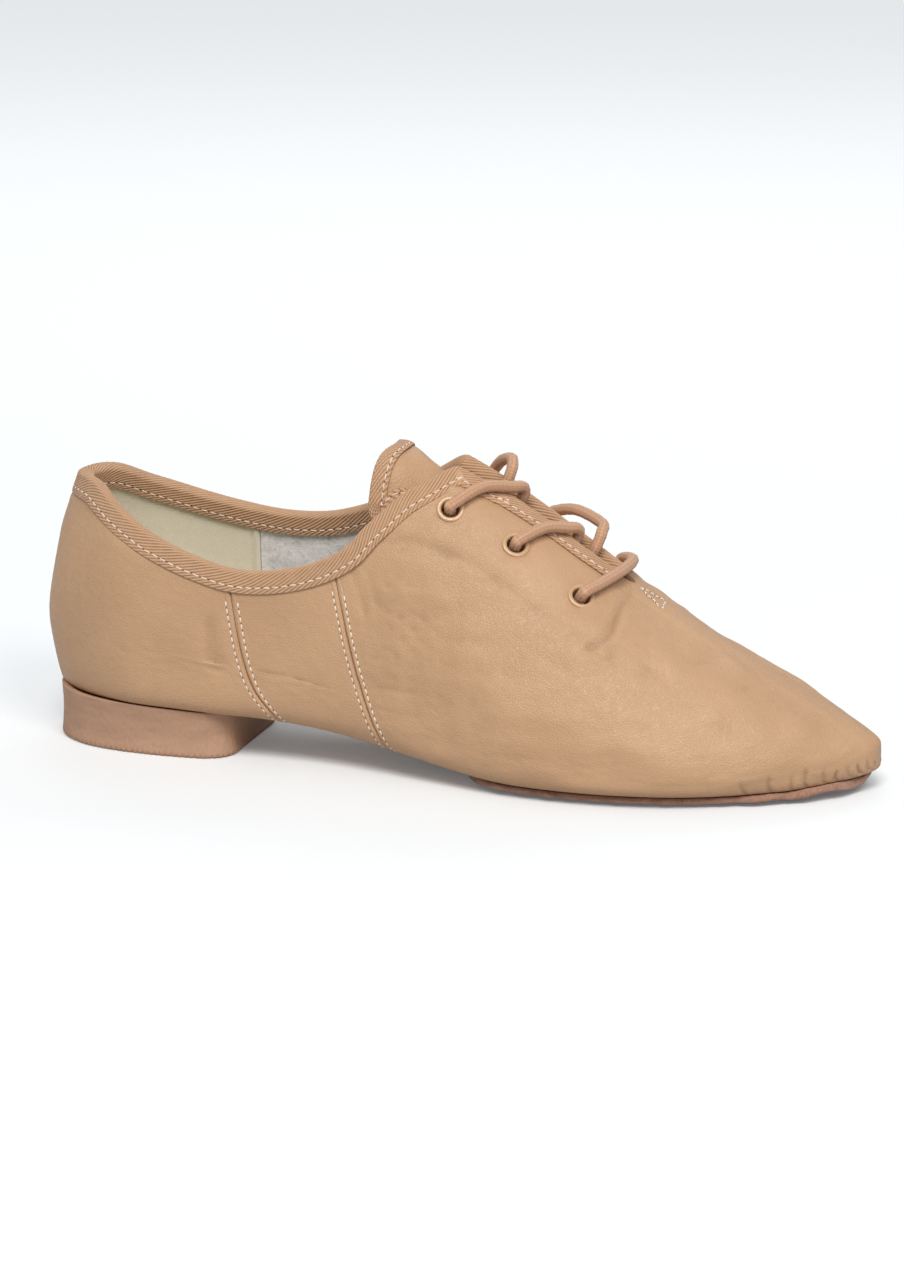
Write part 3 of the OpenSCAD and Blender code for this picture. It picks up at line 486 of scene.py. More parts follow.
def relief(f, side, v, p, along_mm, across_mm):
    """Height of the leather above the skin, in millimetres."""
    s = station(f)
    room = (edge_v(f, side) - v) * across_mm
    free = ease(room, 4.5, 9) * ease(v, 0.62, 0.85)
    height = soft_relief(s, v, p, free) + stay_relief(s, v, across_mm, free)
    height += groove_relief(side, p, np.maximum(free, 0.35 * ease(room, 1, 4)))
    height += pleat_relief(f, side, v, along_mm)
    height += seam_relief(s, side, v, p, free) + eyelet_relief(side, p)
    return np.where(height < 0, -DEEPEST * np.tanh(-height / DEEPEST), height)


def with_relief(f, side, v):
    """Points and normals of the skin, and the leather's relief there."""
    p, n, along, across = skin_and_normal(f, side, v)
    return p, n, relief(f, side, v, p, along, across)


NEAR_SEAM = np.array([0, 0.1, 0.2, 0.32, 0.46, 0.62, 0.8, 1.0, 1.2, 1.38, 1.54, 1.68, 1.8, 1.92,
                      2.06, 2.24, 2.5, 2.85, 3.3, 3.9])


def stations_from(start, end, spacing, near_start=True, near_end=False):
    """Stations between two ends, close together beside a seam."""
    low = start + (NEAR_SEAM if near_start else np.zeros(1))
    high = end - (NEAR_SEAM[::-1] if near_end else np.zeros(1))
    count = max(2, int(round((high[0] - low[-1]) / spacing)) + 1)
    return np.concatenate([low[:-1], np.linspace(low[-1], high[0], count), high[1:]])


def shares(n):
    """Rows up a side, closer together above the widest height."""
    low, widest = 0.38, 0.44
    e = np.linspace(0, 1, n + 1)
    return np.where(e < low, widest * e / low, mix(widest, 1, (e - low) / (1 - low)))


def sharp_part(height):
    """What is left of a grid of heights after smoothing: creases and ridges, not wide dents."""
    smooth = height
    for _ in range(8):
        for axis in (0, 1):
            pad = np.pad(smooth, [(1, 1) if k == axis else (0, 0) for k in (0, 1)], mode="edge")
            ends = [pad.take(range(k, k + height.shape[axis]), axis) for k in (0, 1, 2)]
            smooth = (ends[0] + 2 * ends[1] + ends[2]) / 4
    return height - smooth


def front_grid(side, spacing, rows, trim, shift):
    """f and v of the forward part: columns from vamp seam to toe tip, rows up to the edge."""
    start = vamp_seam.top[side]
    f0 = frac(start)
    back = frac(stations_from(start, THROAT, spacing))
    steps = int(round((LENGTH - THROAT) * 1.25 / spacing))
    f_top = np.concatenate([back, np.linspace(frac(THROAT), 1, steps + 1)[1:]])
    e = ((f_top - f0) / (1 - f0))[:, None]
    v_top = np.where(f_top >= frac(THROAT) - 1e-6, 2, edge_v(f_top, side) - trim)[:, None]
    b = shares(rows)[None, :]
    f = f_top[:, None] + (vamp_seam.f(side, b, shift) - f0) * (1 - e)
    return f, mix(MARGIN_V, v_top, b), len(back)


def clear_of_eyelets(centres, radius):
    """Which places lie outside every eyelet hole. A hole doesn't reach the other half."""
    keep = np.ones(len(centres), bool)
    for side in (LATERAL, MEDIAL):
        for s, v in EYELETS:
            middle, axis, _, _ = skin_and_normal(frac(s), side, v)
            off = centres - middle
            far = np.abs(off @ axis) > EYELET_REACH
            off -= (off @ axis)[:, None] * axis
            keep &= far | (np.linalg.norm(off, axis=1) > radius)
    return keep


def front_shell(name, spacing, rows, trim, shift, depth, thickness, outer_relief, hole):
    """Toe and facings as one shell: two halves joined along the ridge in front of the throat."""
    layers, ids, start = [], [], 0
    for side in (LATERAL, MEDIAL):
        f, v, back = front_grid(side, spacing, rows, trim, shift)
        p, n, along, across = skin_and_normal(f, side, v)
        up = relief(f, side, v, p, along, across) if outer_relief else np.zeros(f.shape)
        layers.append((p.reshape(-1, 3), n.reshape(-1, 3), up.ravel(), sharp_part(up).ravel()))
        ids.append(np.arange(start, start + up.size).reshape(up.shape))
        start += up.size
        if side == LATERAL:
            ridge = up.shape[0] - back + 1
    # the halves have their own number of columns behind the throat and share the ridge in front
    lateral, medial = ids
    medial[-ridge:, -1] = lateral[-ridge:, -1]
    medial[-1, :] = lateral[-1, :]
    p, n, up, crease = (np.concatenate(both) for both in zip(*layers))
    faces = np.concatenate([facing_out(grid_faces(*half.shape, half), p, n) for half in ids])
    used, faces = np.unique(faces, return_inverse=True)
    faces = faces.reshape(-1, 4)
    p, n, up, crease = p[used], n[used], up[used], crease[used]
    faces = faces[clear_of_eyelets(p[faces].mean(1), hole)]
    points = np.concatenate([p - (depth - up)[:, None] * n, p - (depth + thickness) * n])
    # the sharp part of the relief, where the leather material paints shade
    crease = np.concatenate([crease, np.zeros(len(up))])
    return mesh_object(name, points, shell_faces(faces, len(p)), {"crease": crease})


def sheet_object(name, f, side, v, depth, thickness, outer=0.0, inner=0.0):
    """A shell over a grid of f and v. outer and inner are heights added to its two faces."""
    p, n, _, _ = skin_and_normal(f, side, v)
    p, n = p.reshape(-1, 3), n.reshape(-1, 3)
    depth, outer, inner = (np.broadcast_to(a, f.shape) for a in (depth, outer, inner))
    faces = facing_out(grid_faces(*f.shape), p, n)
    points = np.concatenate([p - d.reshape(-1, 1) * n
                             for d in (depth - outer, depth + thickness - inner)])
    # the sharp part of the relief, where the leather material paints shade
    crease = np.concatenate([sharp_part(outer).ravel(), np.zeros(len(p))])
    return mesh_object(name, points, shell_faces(faces, len(p)), {"crease": crease})


def wrap_grid(start, end, columns, rows, trim):
    """f, side and v of a strip under the arch; start and end give a station for a side and v."""
    j = np.linspace(-1, 1, 2 * rows + 1)
    side = np.where(j < 0, LATERAL, MEDIAL)[None, :]
    b = np.abs(j)[None, :]
    e = np.asarray(columns)[:, None]
    tops = []
    for one in (LATERAL, MEDIAL):
        f_top = mix(frac(start(one, None)), frac(end(one, None)), e)
        tops.append(edge_v(f_top, one) - trim)
    v = b * np.where(side < 0, tops[0], tops[1])
    low = np.where(side < 0, frac(start(LATERAL, b)), frac(start(MEDIAL, b)))
    high = np.where(side < 0, frac(end(LATERAL, b)), frac(end(MEDIAL, b)))
    return mix(low, high, e), np.broadcast_to(side, v.shape), v


def seam_rule(seam, offset):
    """Station of a seam at a share of the way up each side; None is its top."""
    def rule(side, b):
        if b is None:
            return seam.top[side] + offset
        return seam.at(side, b * edge_v(frac(seam.top[side]), side)) + offset
    return rule


def fixed_rule(s):
    return lambda side, b: s if b is None else np.full(np.shape(b), s)


def both_sides(f, side, v):
    """Relief over a grid that holds both sides."""
    p, _, along, across = skin_and_normal(f, side, v)
    left, right = (relief(f, one, v, p, along, across) for one in (LATERAL, MEDIAL))
    return np.where(side < 0, left, right)


# ---------------------------------------------------------------- sewn and swept pieces
def stitches(points, normals, pitch, length, radius, lift, start=STITCH_START):
    """Separate stitches along a line: each rises from the leather, lies flat and dives again."""
    index, places = along_path(points, 0.05)
    p, n = sample(points, index), unit(sample(normals, index))
    count = int((places[-1] - start) // pitch)
    u = np.linspace(0, 1, 8)
    where = start + pitch * np.arange(count)[:, None] + length * u
    at = np.interp(where, places, np.arange(len(places)))
    c = sample(p, at.ravel()).reshape(count, len(u), 3)
    up = unit(sample(n, at.ravel()).reshape(count, len(u), 3))
    out = unit(np.cross(unit(np.gradient(c, axis=1)), up))
    arch = np.clip(np.sin(np.pi * np.clip(u * 1.04 - 0.02, 0, 1)), 0, 1) ** 0.45
    c = c + up * mix(-STITCH_DIVE, lift, arch)[None, :, None]
    a = np.arange(6) * np.pi / 3
    r = radius * (1 - 0.45 * np.abs(2 * u - 1) ** 4)
    ring = out[:, :, None] * np.cos(a)[:, None] + 0.85 * up[:, :, None] * np.sin(a)[:, None]
    rings = c[:, :, None] + ring * r[None, :, None, None]
    return joined([tube(ring) for ring in rings])


def seam_rows(seam):
    """Lines of thread on both sides of a seam, on both sides of the shoe."""
    rows = []
    for side in (LATERAL, MEDIAL):
        top = edge_v(frac(seam.top[side]), side) - 0.075
        v = mix(0.36, top, shares(160))
        for offset in (-ROW_OFFSET, ROW_OFFSET):
            p, n, up = with_relief(frac(seam.at(side, v) + offset), side, v)
            rows.append((p + up[:, None] * n, n))
    return rows


def sew(name, rows, size):
    """Stitches along several rows, and dark beads of painted shade sunk at each needle hole."""
    pitch, length, _, _ = size
    start = STITCH_START + length + (pitch - length) / 2 - 0.27
    thread = joined([stitches(p, n, *size) for p, n in rows])
    # dark beads of painted shade between the stitches, where the needle goes in
    hole_shade = joined([stitches(p, n, pitch, HOLE_SHADE_R * 2.2, HOLE_SHADE_R, 0.03, start) for p, n in rows])
    return mesh_object(name, *thread), mesh_object(name + "_holes", *hole_shade)


def edge_path(end, spacing):
    """Even places along the top edge, from the lateral throat round the heel to the medial one."""
    j = np.linspace(-1, 1, 6001)

    def place(j):
        side = np.where(j < 0, LATERAL, MEDIAL)
        f = frac(end) * np.abs(j)
        return f, side, edge_v(f, side)
    points = skin(*place(j))
    index, places = along_path(points, spacing)
    return (*place(np.interp(index, np.arange(len(j)), j)), places)


def off_edge(f, side, v, inside, height):
    """Points at distances inside the top edge and heights above the skin."""
    p = skin(f, side, v)
    tangent = unit(np.gradient(p, axis=0))
    pf = (skin(f + STEP, side, v) - skin(f - STEP, side, v)) / (2 * STEP)
    pv = (p - skin(f, side, v - STEP)) / STEP
    down = -pv
    way = unit(down - tangent * (down * tangent).sum(-1, keepdims=True))
    ff, vv, fv = (pf * pf).sum(-1), (pv * pv).sum(-1), (pf * pv).sum(-1)
    wf, wv = (way * pf).sum(-1), (way * pv).sum(-1)
    det = ff * vv - fv ** 2
    df, dv = (wf * vv - wv * fv) / det, (wv * ff - wf * fv) / det
    deep = np.maximum(inside, 0)
    q, n, _, _ = skin_and_normal(f[:, None] + deep * df[:, None], side[:, None],
                                 v[:, None] + deep * dv[:, None])
    base = q + height[..., None] * n
    return base + way[:, None] * np.minimum(inside, 0)[..., None]


TWILL_PITCH, TWILL_ANGLE = 0.84, math.radians(27)


def fold_profile(leg, fold, top, under, row):
    """Closed section of a folded tape: (inside, height) pairs, and how much of the twill each
    carries. row is the stitch line's distance from the edge."""
    thickness = 0.4
    t = np.linspace(leg, 0.35, 27)
    dip = 0.2 * bell(t - row, 0.34)
    selvage = 0.16 * ease(t, row + 0.2, leg)
    middle, half = (top + under) / 2, (top - under) / 2
    turn = np.linspace(0, np.pi, 25)[1:-1]
    outer = [np.stack([t, top - dip - selvage], 1),
             np.stack([0.35 - (0.35 + fold) * np.sin(turn) ** 0.8,
                       middle + half * np.cos(turn)], 1),
             np.stack([t[::-1], under + (dip + selvage)[::-1]], 1)]
    back = np.linspace(0.35, leg, 9)
    turn = np.linspace(np.pi, 0, 13)[1:-1]
    inner = [np.stack([back[::-1], np.full(9, under + thickness)], 1),
             np.stack([0.35 - (0.35 + fold - thickness) * np.sin(turn) ** 0.8,
                       middle + (half - thickness) * np.cos(turn)], 1),
             np.stack([back, np.full(9, top - thickness)], 1)]
    outer, inner = np.concatenate(outer), np.concatenate(inner)
    loop = np.concatenate([outer, inner])
    across = path_lengths(outer)
    d = np.gradient(outer, axis=0)
    out = unit(np.stack([-d[:, 1], d[:, 0]], 1))
    if out[10, 1] < 0:
        out = -out
    weave = np.concatenate([np.ones(len(outer)), np.zeros(len(inner))])
    weave[[0, len(outer) - 1]] = 0
    return (loop, np.concatenate([out, np.zeros_like(inner)]),
            np.concatenate([across, np.zeros(len(inner))]), weave)


def tape_object(name, place, along, profile, turn=1.0):
    """A folded twill tape. place(inside, height) gives points; along is the length of its rows."""
    loop, out, across, weave = profile
    phase = 2 * np.pi / TWILL_PITCH * (across[None] * math.cos(TWILL_ANGLE)
                                       + turn * along[:, None] * math.sin(TWILL_ANGLE))
    rib = 0.085 * np.sign(np.sin(phase)) * np.abs(np.sin(phase)) ** 0.7 * weave
    rib += 0.03 * np.sin(along[:, None] * 9.1 + across[None] * 5.3) * weave
    inside = loop[None, :, 0] + rib * out[None, :, 0]
    height = loop[None, :, 1] + rib * out[None, :, 1]
    rings = place(inside, height)
    points, faces = tube(rings)
    pattern = np.stack(np.broadcast_arrays(along[:, None], across[None], np.zeros_like(rib)), -1)
    pattern = pattern.reshape(-1, 3)
    return mesh_object(name, points, faces, {"tape": pattern}, 65)


# ---------------------------------------------------------------- tongue
TONGUE_BACK, TONGUE_FRONT, TONGUE_CORNER, TONGUE_SWEEP = 107.0, 187.0, 3.5, 3.2
TONGUE_T, TONGUE_SHIFT, TONGUE_MEDIAL = 0.9, -0.2, 0.8
tongue_drop = Curve([[106, 8.3], [112, 6.6], [119, 7.4], [125, 9.8], [135, 10.2], [160, 10.2],
                     [168, 9], [180, 5.4], [190, 5.2]])
tongue_width = Curve([[100, 26], [108, 25.4], [111, 22.4], [114, 18.6], [118, 14.8], [123, 12.4],
                      [130, 12], [160, 12.2], [190, 12.8]])


def tongue_line(s, u):
    """Across and down from the ridge at a distance along the cross-section."""
    r = np.abs(u) / 19
    back = 0.97 * np.abs(u) * r ** 3 / np.sqrt(1 + r ** 6)
    front = 11 * (np.sqrt(1 + (u / 7) ** 2) - 1)
    down = mix(back, front, ease(s, 109, 122)) * (1 - 0.5 * ease(s, 166, 182))
    return u / (1 + (np.abs(u) / 16.2) ** 4) ** 0.25, down


def tongue_at(s, u, drop):
    """Place on the tongue at a station and a width, at a depth square to its surface."""
    (y, z), (y1, z1), (y2, z2) = (tongue_line(s, u + step) for step in (0, 0.1, -0.1))
    size = np.hypot(y1 - y2, z1 - z2)
    narrow = np.where(u > 0, mix(TONGUE_MEDIAL, 1, ease(s, 118, 150)), 1)
    wide = (y - drop * (z1 - z2) / size) * narrow
    f = frac(s)
    x = s - HEEL_CENTRE - TONGUE_SWEEP * (y / 15) ** 2 * (1 - ease(s, 108, 134))
    height = ridge_z(f) - tongue_drop(s) - z - drop * (y1 - y2) / size
    return np.stack(np.broadcast_arrays(x, wide + TONGUE_SHIFT + centre_y(f), height), -1)


def tongue_half(s, inset):
    c = TONGUE_BACK + TONGUE_CORNER
    w = tongue_width(np.maximum(s, c))
    round_part = np.sqrt(np.clip((TONGUE_CORNER - inset) ** 2 - (c - s) ** 2, 0, None))
    return np.where(s >= c, w - inset, w - TONGUE_CORNER + round_part)


def tongue_sheet(name, top, under, inset, bumps=0.0):
    s = mix(TONGUE_BACK + inset, TONGUE_FRONT, np.linspace(0, 1, 120) ** 1.25)[:, None]
    y = np.linspace(-1, 1, 81)[None, :] * tongue_half(s, inset)
    outer, inner = tongue_at(s, y, top), tongue_at(s, y, under)
    outer[..., 2] += bumps * waves(outer, 9, 21)
    n = unit(outer - inner).reshape(-1, 3)
    faces = facing_out(grid_faces(*outer.shape[:2]), outer.reshape(-1, 3), n)
    points = np.concatenate([outer.reshape(-1, 3), inner.reshape(-1, 3)])
    return mesh_object(name, points, shell_faces(faces, len(n)), {"crease": np.zeros(len(points))})


def tongue_rim(k, inset, drop):
    """Rim of the tongue: k runs along one side, round the back and along the other."""
    side, k = np.sign(k), np.abs(k)
    c = TONGUE_BACK + TONGUE_CORNER
    flat = float(tongue_width(c)) - TONGUE_CORNER
    turn = np.radians(90 * np.clip(k - 4, 0, 4) / 4)
    r = TONGUE_CORNER - inset
    s = np.where(k <= 4, TONGUE_BACK + inset,
                 np.where(k <= 8, c - r * np.cos(turn), c + 1.07 * (k - 8) ** 2))
    y = np.where(k <= 4, flat * k / 4,
                 np.where(k <= 8, flat + r * np.sin(turn), tongue_half(s, inset)))
    return tongue_at(s, side * y, drop)


def tongue_path(spacing):
    k = np.linspace(-14, 14, 3001)
    index, places = along_path(tongue_rim(k, 0, 0), spacing)
    return np.interp(index, np.arange(len(k)), k), places


# ---------------------------------------------------------------- lace
LACE_R, BRAID_PITCH = 1.62, 3.1
UNDER = -6.0


def lace_half(side, s1, s2, lift1, lift2):
    """Control places of half a lace: station, side, v, height above the skin."""
    def through(place, side, back):
        s, v = place
        down = [(s, side, v, height) for height in (1, -1.6, -4.4)]
        return [(s + back * 0.15, side, v + 0.008, 2.9)] + down

    def crossing(place, after, side, s, lift):
        low_lift = mix(2.6, lift, 0.6)
        return [(place[0] - 0.2, side, place[1] + 0.045, UNDER),
                (mix(place[0], s, 0.6), side, mix(place[1], 1.95, 0.5), UNDER),
                (s + 1, side, 1.95, UNDER + 0.3), (s + 0.3, side, 1.99, UNDER + 1.6),
                (s, side, 2, -1.6), (s - 0.4, -side, 1.992, 1.4), (s - 1.4, -side, 1.965, low_lift),
                (s - 3.2, -side, 1.91, lift),
                (mix(s, after[0], 0.6), -side, mix(after[1], 2, 0.42), low_lift)]
    back, middle, front = EYELETS
    tail = [(128.2, 1.61, 0), (127.4, 1.55, 0.1), (126.8, 1.48, 0.2), (126, 1.4, 0.2)]
    return ([(173.5, side, 1.87, 3.3), (170.6, side, 1.74, 3.1)] + through(front, side, 3)
            + crossing(front, middle, side, s1, lift1) + through(middle, -side, 3)
            + crossing(middle, back, -side, s2, lift2) + through(back, side, 3)
            + [(s, side, v, UNDER - low) for s, v, low in tail])


def lace_centre():
    def points(rows):
        rows = np.array(rows, float)
        return below(frac(rows[:, 0]), rows[:, 1], rows[:, 2], -rows[:, 3])
    a = points(lace_half(LATERAL, 166, 145, 6.5, 3))
    b = points(lace_half(MEDIAL, 161, 140, 3, 6))
    bar = points([(174.4, LATERAL, 2, 3.2)])
    path = spline(np.concatenate([a[::-1], bar, b]), 30)
    index, places = along_path(path, 0.2)
    return sample(path, index), places


def carried_frames(p):
    """Two side directions carried along a path without twist."""
    t = unit(np.gradient(p, axis=0))
    u = np.zeros_like(t)
    v = np.array([0.0, 0.0, 1.0])
    for i in range(len(p)):
        v = v - t[i] * (v @ t[i])
        v = v / np.linalg.norm(v)
        u[i] = v
    return u, np.cross(t, u)


def lace():
    p, places = lace_centre()
    u, w = carried_frames(p)
    a = np.arange(32) * 2 * np.pi / 32
    turn = 2 * np.pi * places[:, None] / BRAID_PITCH
    left, right = np.cos(4 * a[None] + 2 * turn), np.cos(4 * a[None] - 2 * turn)
    braid = left * right + 0.25 * np.maximum(left, right)
    r = LACE_R + 0.1 * braid + 0.03 * np.sin(places[:, None] * 1.7)
    ring = u[:, None] * np.cos(a)[:, None] - w[:, None] * np.sin(a)[:, None]
    points, faces = tube(p[:, None] + r[..., None] * ring)
    pattern = np.stack(np.broadcast_arrays(places[:, None], a[None], braid), -1).reshape(-1, 3)
    return mesh_object("lace_cord", points, faces, {"tape": pattern}, 0)


# ---------------------------------------------------------------- eyelets, sole and heel
def lathe(profile, sides, origin, axis):
    """Rings of a profile (radius, height) turned about an axis."""
    axis = unit(np.asarray(axis, float))
    u = unit(np.cross(axis, [0.0, 1.0, 0.0]))
    w = np.cross(axis, u)
    a = np.arange(sides) * 2 * np.pi / sides
    ring = u[None] * np.cos(a)[:, None] + w[None] * np.sin(a)[:, None]
    profile = np.asarray(profile)
    return origin + profile[:, None, :1] * ring[None] + profile[:, None, 1:] * axis


def eyelet_profile():
    """Rolled flange outside, barrel, and the splayed end inside."""
    bore, outer = 2.6, 4.0
    turn = np.linspace(-0.35 * np.pi, np.pi, 20)
    middle, half = (bore + outer) / 2 + 0.03, (outer - bore) / 2
    roll = np.stack([middle + half * np.cos(turn), 0.42 + 0.5 * np.sin(turn)], 1)
    end = -LINING_BACK - 0.95 - 0.3
    barrel = [(bore, 0.1), (bore, -1.5), (bore, end + 0.2), (bore + 0.1, end - 0.35),
              (bore + 0.9, end - 0.3), (bore + 0.9, end - 0.1), (bore + 0.42, end - 0.05),
              (bore + 0.42, -1.0), (bore + 0.42, 0.0)]
    return np.concatenate([roll, barrel])


def eyelets():
    parts = []
    profile = eyelet_profile()
    for side in (LATERAL, MEDIAL):
        for place in EYELETS:
            p, n, _, _ = skin_and_normal(frac(place[0]), side, place[1])
            rings = lathe(profile, 72, p - 0.12 * n, n)
            k = rings.shape[1]
            ids = np.arange(rings.shape[0] * k).reshape(-1, k)
            ids = np.concatenate([ids, ids[:1]])
            ids = np.concatenate([ids, ids[:, :1]], 1)
            parts.append((rings.reshape(-1, 3), grid_faces(*ids.shape, ids)[:, ::-1].tolist()))
    return mesh_object("eyelet_rings", *joined(parts), None, 0)


SOLE_BACK, SOLE_FRONT, SOLE_ROUND = 130, 246, 19
SOLE_GAP, SOLE_T, SOLE_EDGE, ON_FLOOR = 0.25, 1.7, 0.75, 0.45
SOLE_COLUMNS, RIM_COLUMNS = 46, 7


def sole_section(s):
    """A closed ring across the sole: its top, the far rim, its underside and the near rim."""
    toe = ease(s, 205, 232)
    thick = SOLE_T + 0.55 * toe * (1 + 0.5 * math.sin(s * 0.55))
    thick *= mix(0.45, 1, ease(s, SOLE_BACK, 133)) * (1 - 0.5 * ease(s, 245.6, 246.6))
    reach = 0.49 + 0.028 * toe * (1 + 0.6 * math.sin(s * 0.43 + 1)) + 0.006 * math.sin(s * 0.9)
    reach *= 1 - 0.5 * ease(s, 240, 247)
    reach *= math.sqrt(1 - max(0, 1 - (s - SOLE_BACK) / SOLE_ROUND) ** 2)
    t = np.linspace(-1, 1, SOLE_COLUMNS)
    side = np.where(t < 0, LATERAL, MEDIAL)
    p, n, _, _ = skin_and_normal(np.full(SOLE_COLUMNS, frac(s)), side, reach * np.abs(t))
    top, low = p + SOLE_GAP * n, p + (SOLE_GAP + thick) * n
    low[:, 2] = np.where(low[:, 2] < ON_FLOOR, 0, low[:, 2])
    turn = np.linspace(0, np.pi, RIM_COLUMNS + 2)[1:-1, None]

    def rim(k, beside):
        centre, half = (top[k] + low[k]) / 2, (top[k] - low[k]) / 2
        return centre + half * np.cos(turn) + unit(top[k] - top[beside]) * SOLE_EDGE * np.sin(turn)
    return np.concatenate([top, rim(-1, -2), low[::-1], rim(0, 1)[::-1]])


def forefoot_sole():
    """Suede sole from its rounded back edge to the toe, fuzzy along the rim."""
    stations = np.concatenate([SOLE_BACK + np.array([0.4, 0.6, 0.9, 1.3]),
                               stations_from(131.8, SOLE_FRONT, 0.6, False),
                               SOLE_FRONT + np.array([0.3, 0.6])])
    rings = np.array([sole_section(s) for s in stations])
    edge = np.zeros(rings.shape[1])
    edge[SOLE_COLUMNS:SOLE_COLUMNS + RIM_COLUMNS] = 1
    edge[-RIM_COLUMNS:] = 1
    away = unit(rings - rings.mean(1, keepdims=True))
    fuzz = 0.1 * waves(rings, 1.5, 31, 24) + 0.16 * waves(rings, 5, 32)
    points, faces = tube((rings + away * (fuzz * edge)[..., None])[:, ::-1])
    return mesh_object("suede_sole", points, faces, None, 40)


# Half of the heel block's outline: distance from its back, half width
HEEL_OUTLINE = [(0, 0), (1.4, 7.5), (5.2, 14.2), (12.4, 20), (22.4, 23.5), (35.4, 25), (47, 24.9),
                (52.4, 24.4)]
HEEL_BACK, BREAST, BREAST_HALF, BREAST_ROUND = 3.9, 63.4, 24.1, 8.0
HEEL_HEIGHT, SEAT_DROP = 16.0, 2.4
HEEL_COUNT, HEEL_TEETH, TOOTH_DEPTH = 520, 104, 0.16


def heel_ring(inset):
    """Outline of the heel block drawn in by an inset, as even places."""
    side = spline([(0, -1)] + HEEL_OUTLINE, 12)
    side = side[side[:, 1] >= 0]
    back = np.stack([HEEL_BACK + inset + side[:, 0] * (1 - inset / 60),
                     np.maximum(0, side[:, 1] - inset)], 1)
    a = np.radians(np.arange(75, -1, -5))
    corner = np.stack([BREAST - inset - BREAST_ROUND * (1 - np.cos(a)),
                       BREAST_HALF - inset - BREAST_ROUND * (1 - np.sin(a))], 1)
    half = np.concatenate([back, corner])
    ring = np.concatenate([half, half[-2:0:-1] * [1, -1]])
    closed = np.concatenate([ring, ring[:1]])
    lengths = path_lengths(closed)
    even = np.linspace(0, lengths[-1], HEEL_COUNT + 1)[:-1]
    ring = np.stack([np.interp(even, lengths, closed[:, k]) for k in range(2)], 1)
    return ring - [HEEL_CENTRE, 0]


def heel_seat(ring):
    """Height of the seat at the places of a ring; it falls towards the breast."""
    return HEEL_HEIGHT - (ring[:, 0] + HEEL_CENTRE) * SEAT_DROP / BREAST


def heel_block():
    """Rubber block: serrated round its foot, a slight waist, and a dished seat."""
    rise = np.concatenate([[0, 0.02, 0.045, 0.07, 0.1, 0.13], np.linspace(0.17, 0.95, 24),
                           [0.97, 0.985, 1]])
    rings = []
    teeth = np.arange(HEEL_COUNT) * 2 * np.pi / HEEL_COUNT
    for t in rise:
        round_low = 0.75 * (1 - math.sqrt(max(0, 1 - (1 - min(t / 0.1, 1)) ** 2)))
        round_top = 0.25 * (1 - math.sqrt(max(0, 1 - max(0, (t - 0.96) / 0.04) ** 2)))
        waist = 0.35 * math.sin(math.pi * min(1, max(0, (t - 0.1) / 0.9)))
        ring = heel_ring(0.05 + round_low + round_top + waist)
        serrate = TOOTH_DEPTH * (1 - ease(t, 0.05, 0.12)) * np.sign(np.sin(teeth * HEEL_TEETH))
        ring = ring * (1 - serrate / np.linalg.norm(ring, axis=1))[:, None]
        rings.append(np.column_stack([ring, t * heel_seat(ring)]))
    for inset, drop in ((1.2, 0.1), (2.6, 1.3), (8, 1.6)):
        ring = heel_ring(inset)
        rings.append(np.column_stack([ring, heel_seat(ring) - drop]))
    rings = np.array(rings)
    rise = np.append(rise, [1, 1, 1])
    wall = (ease(rise, 0.02, 0.2) * ease(1 - rise, 0, 0.1))[:, None, None]
    uneven = (0.07 * waves(rings, 7, 41) + 0.03 * waves(rings, 1.6, 42))[..., None]
    points, faces = tube(rings + unit(rings * [1, 1, 0]) * uneven * wall)
    return mesh_object("rubber_heel", points, faces, None, 35)


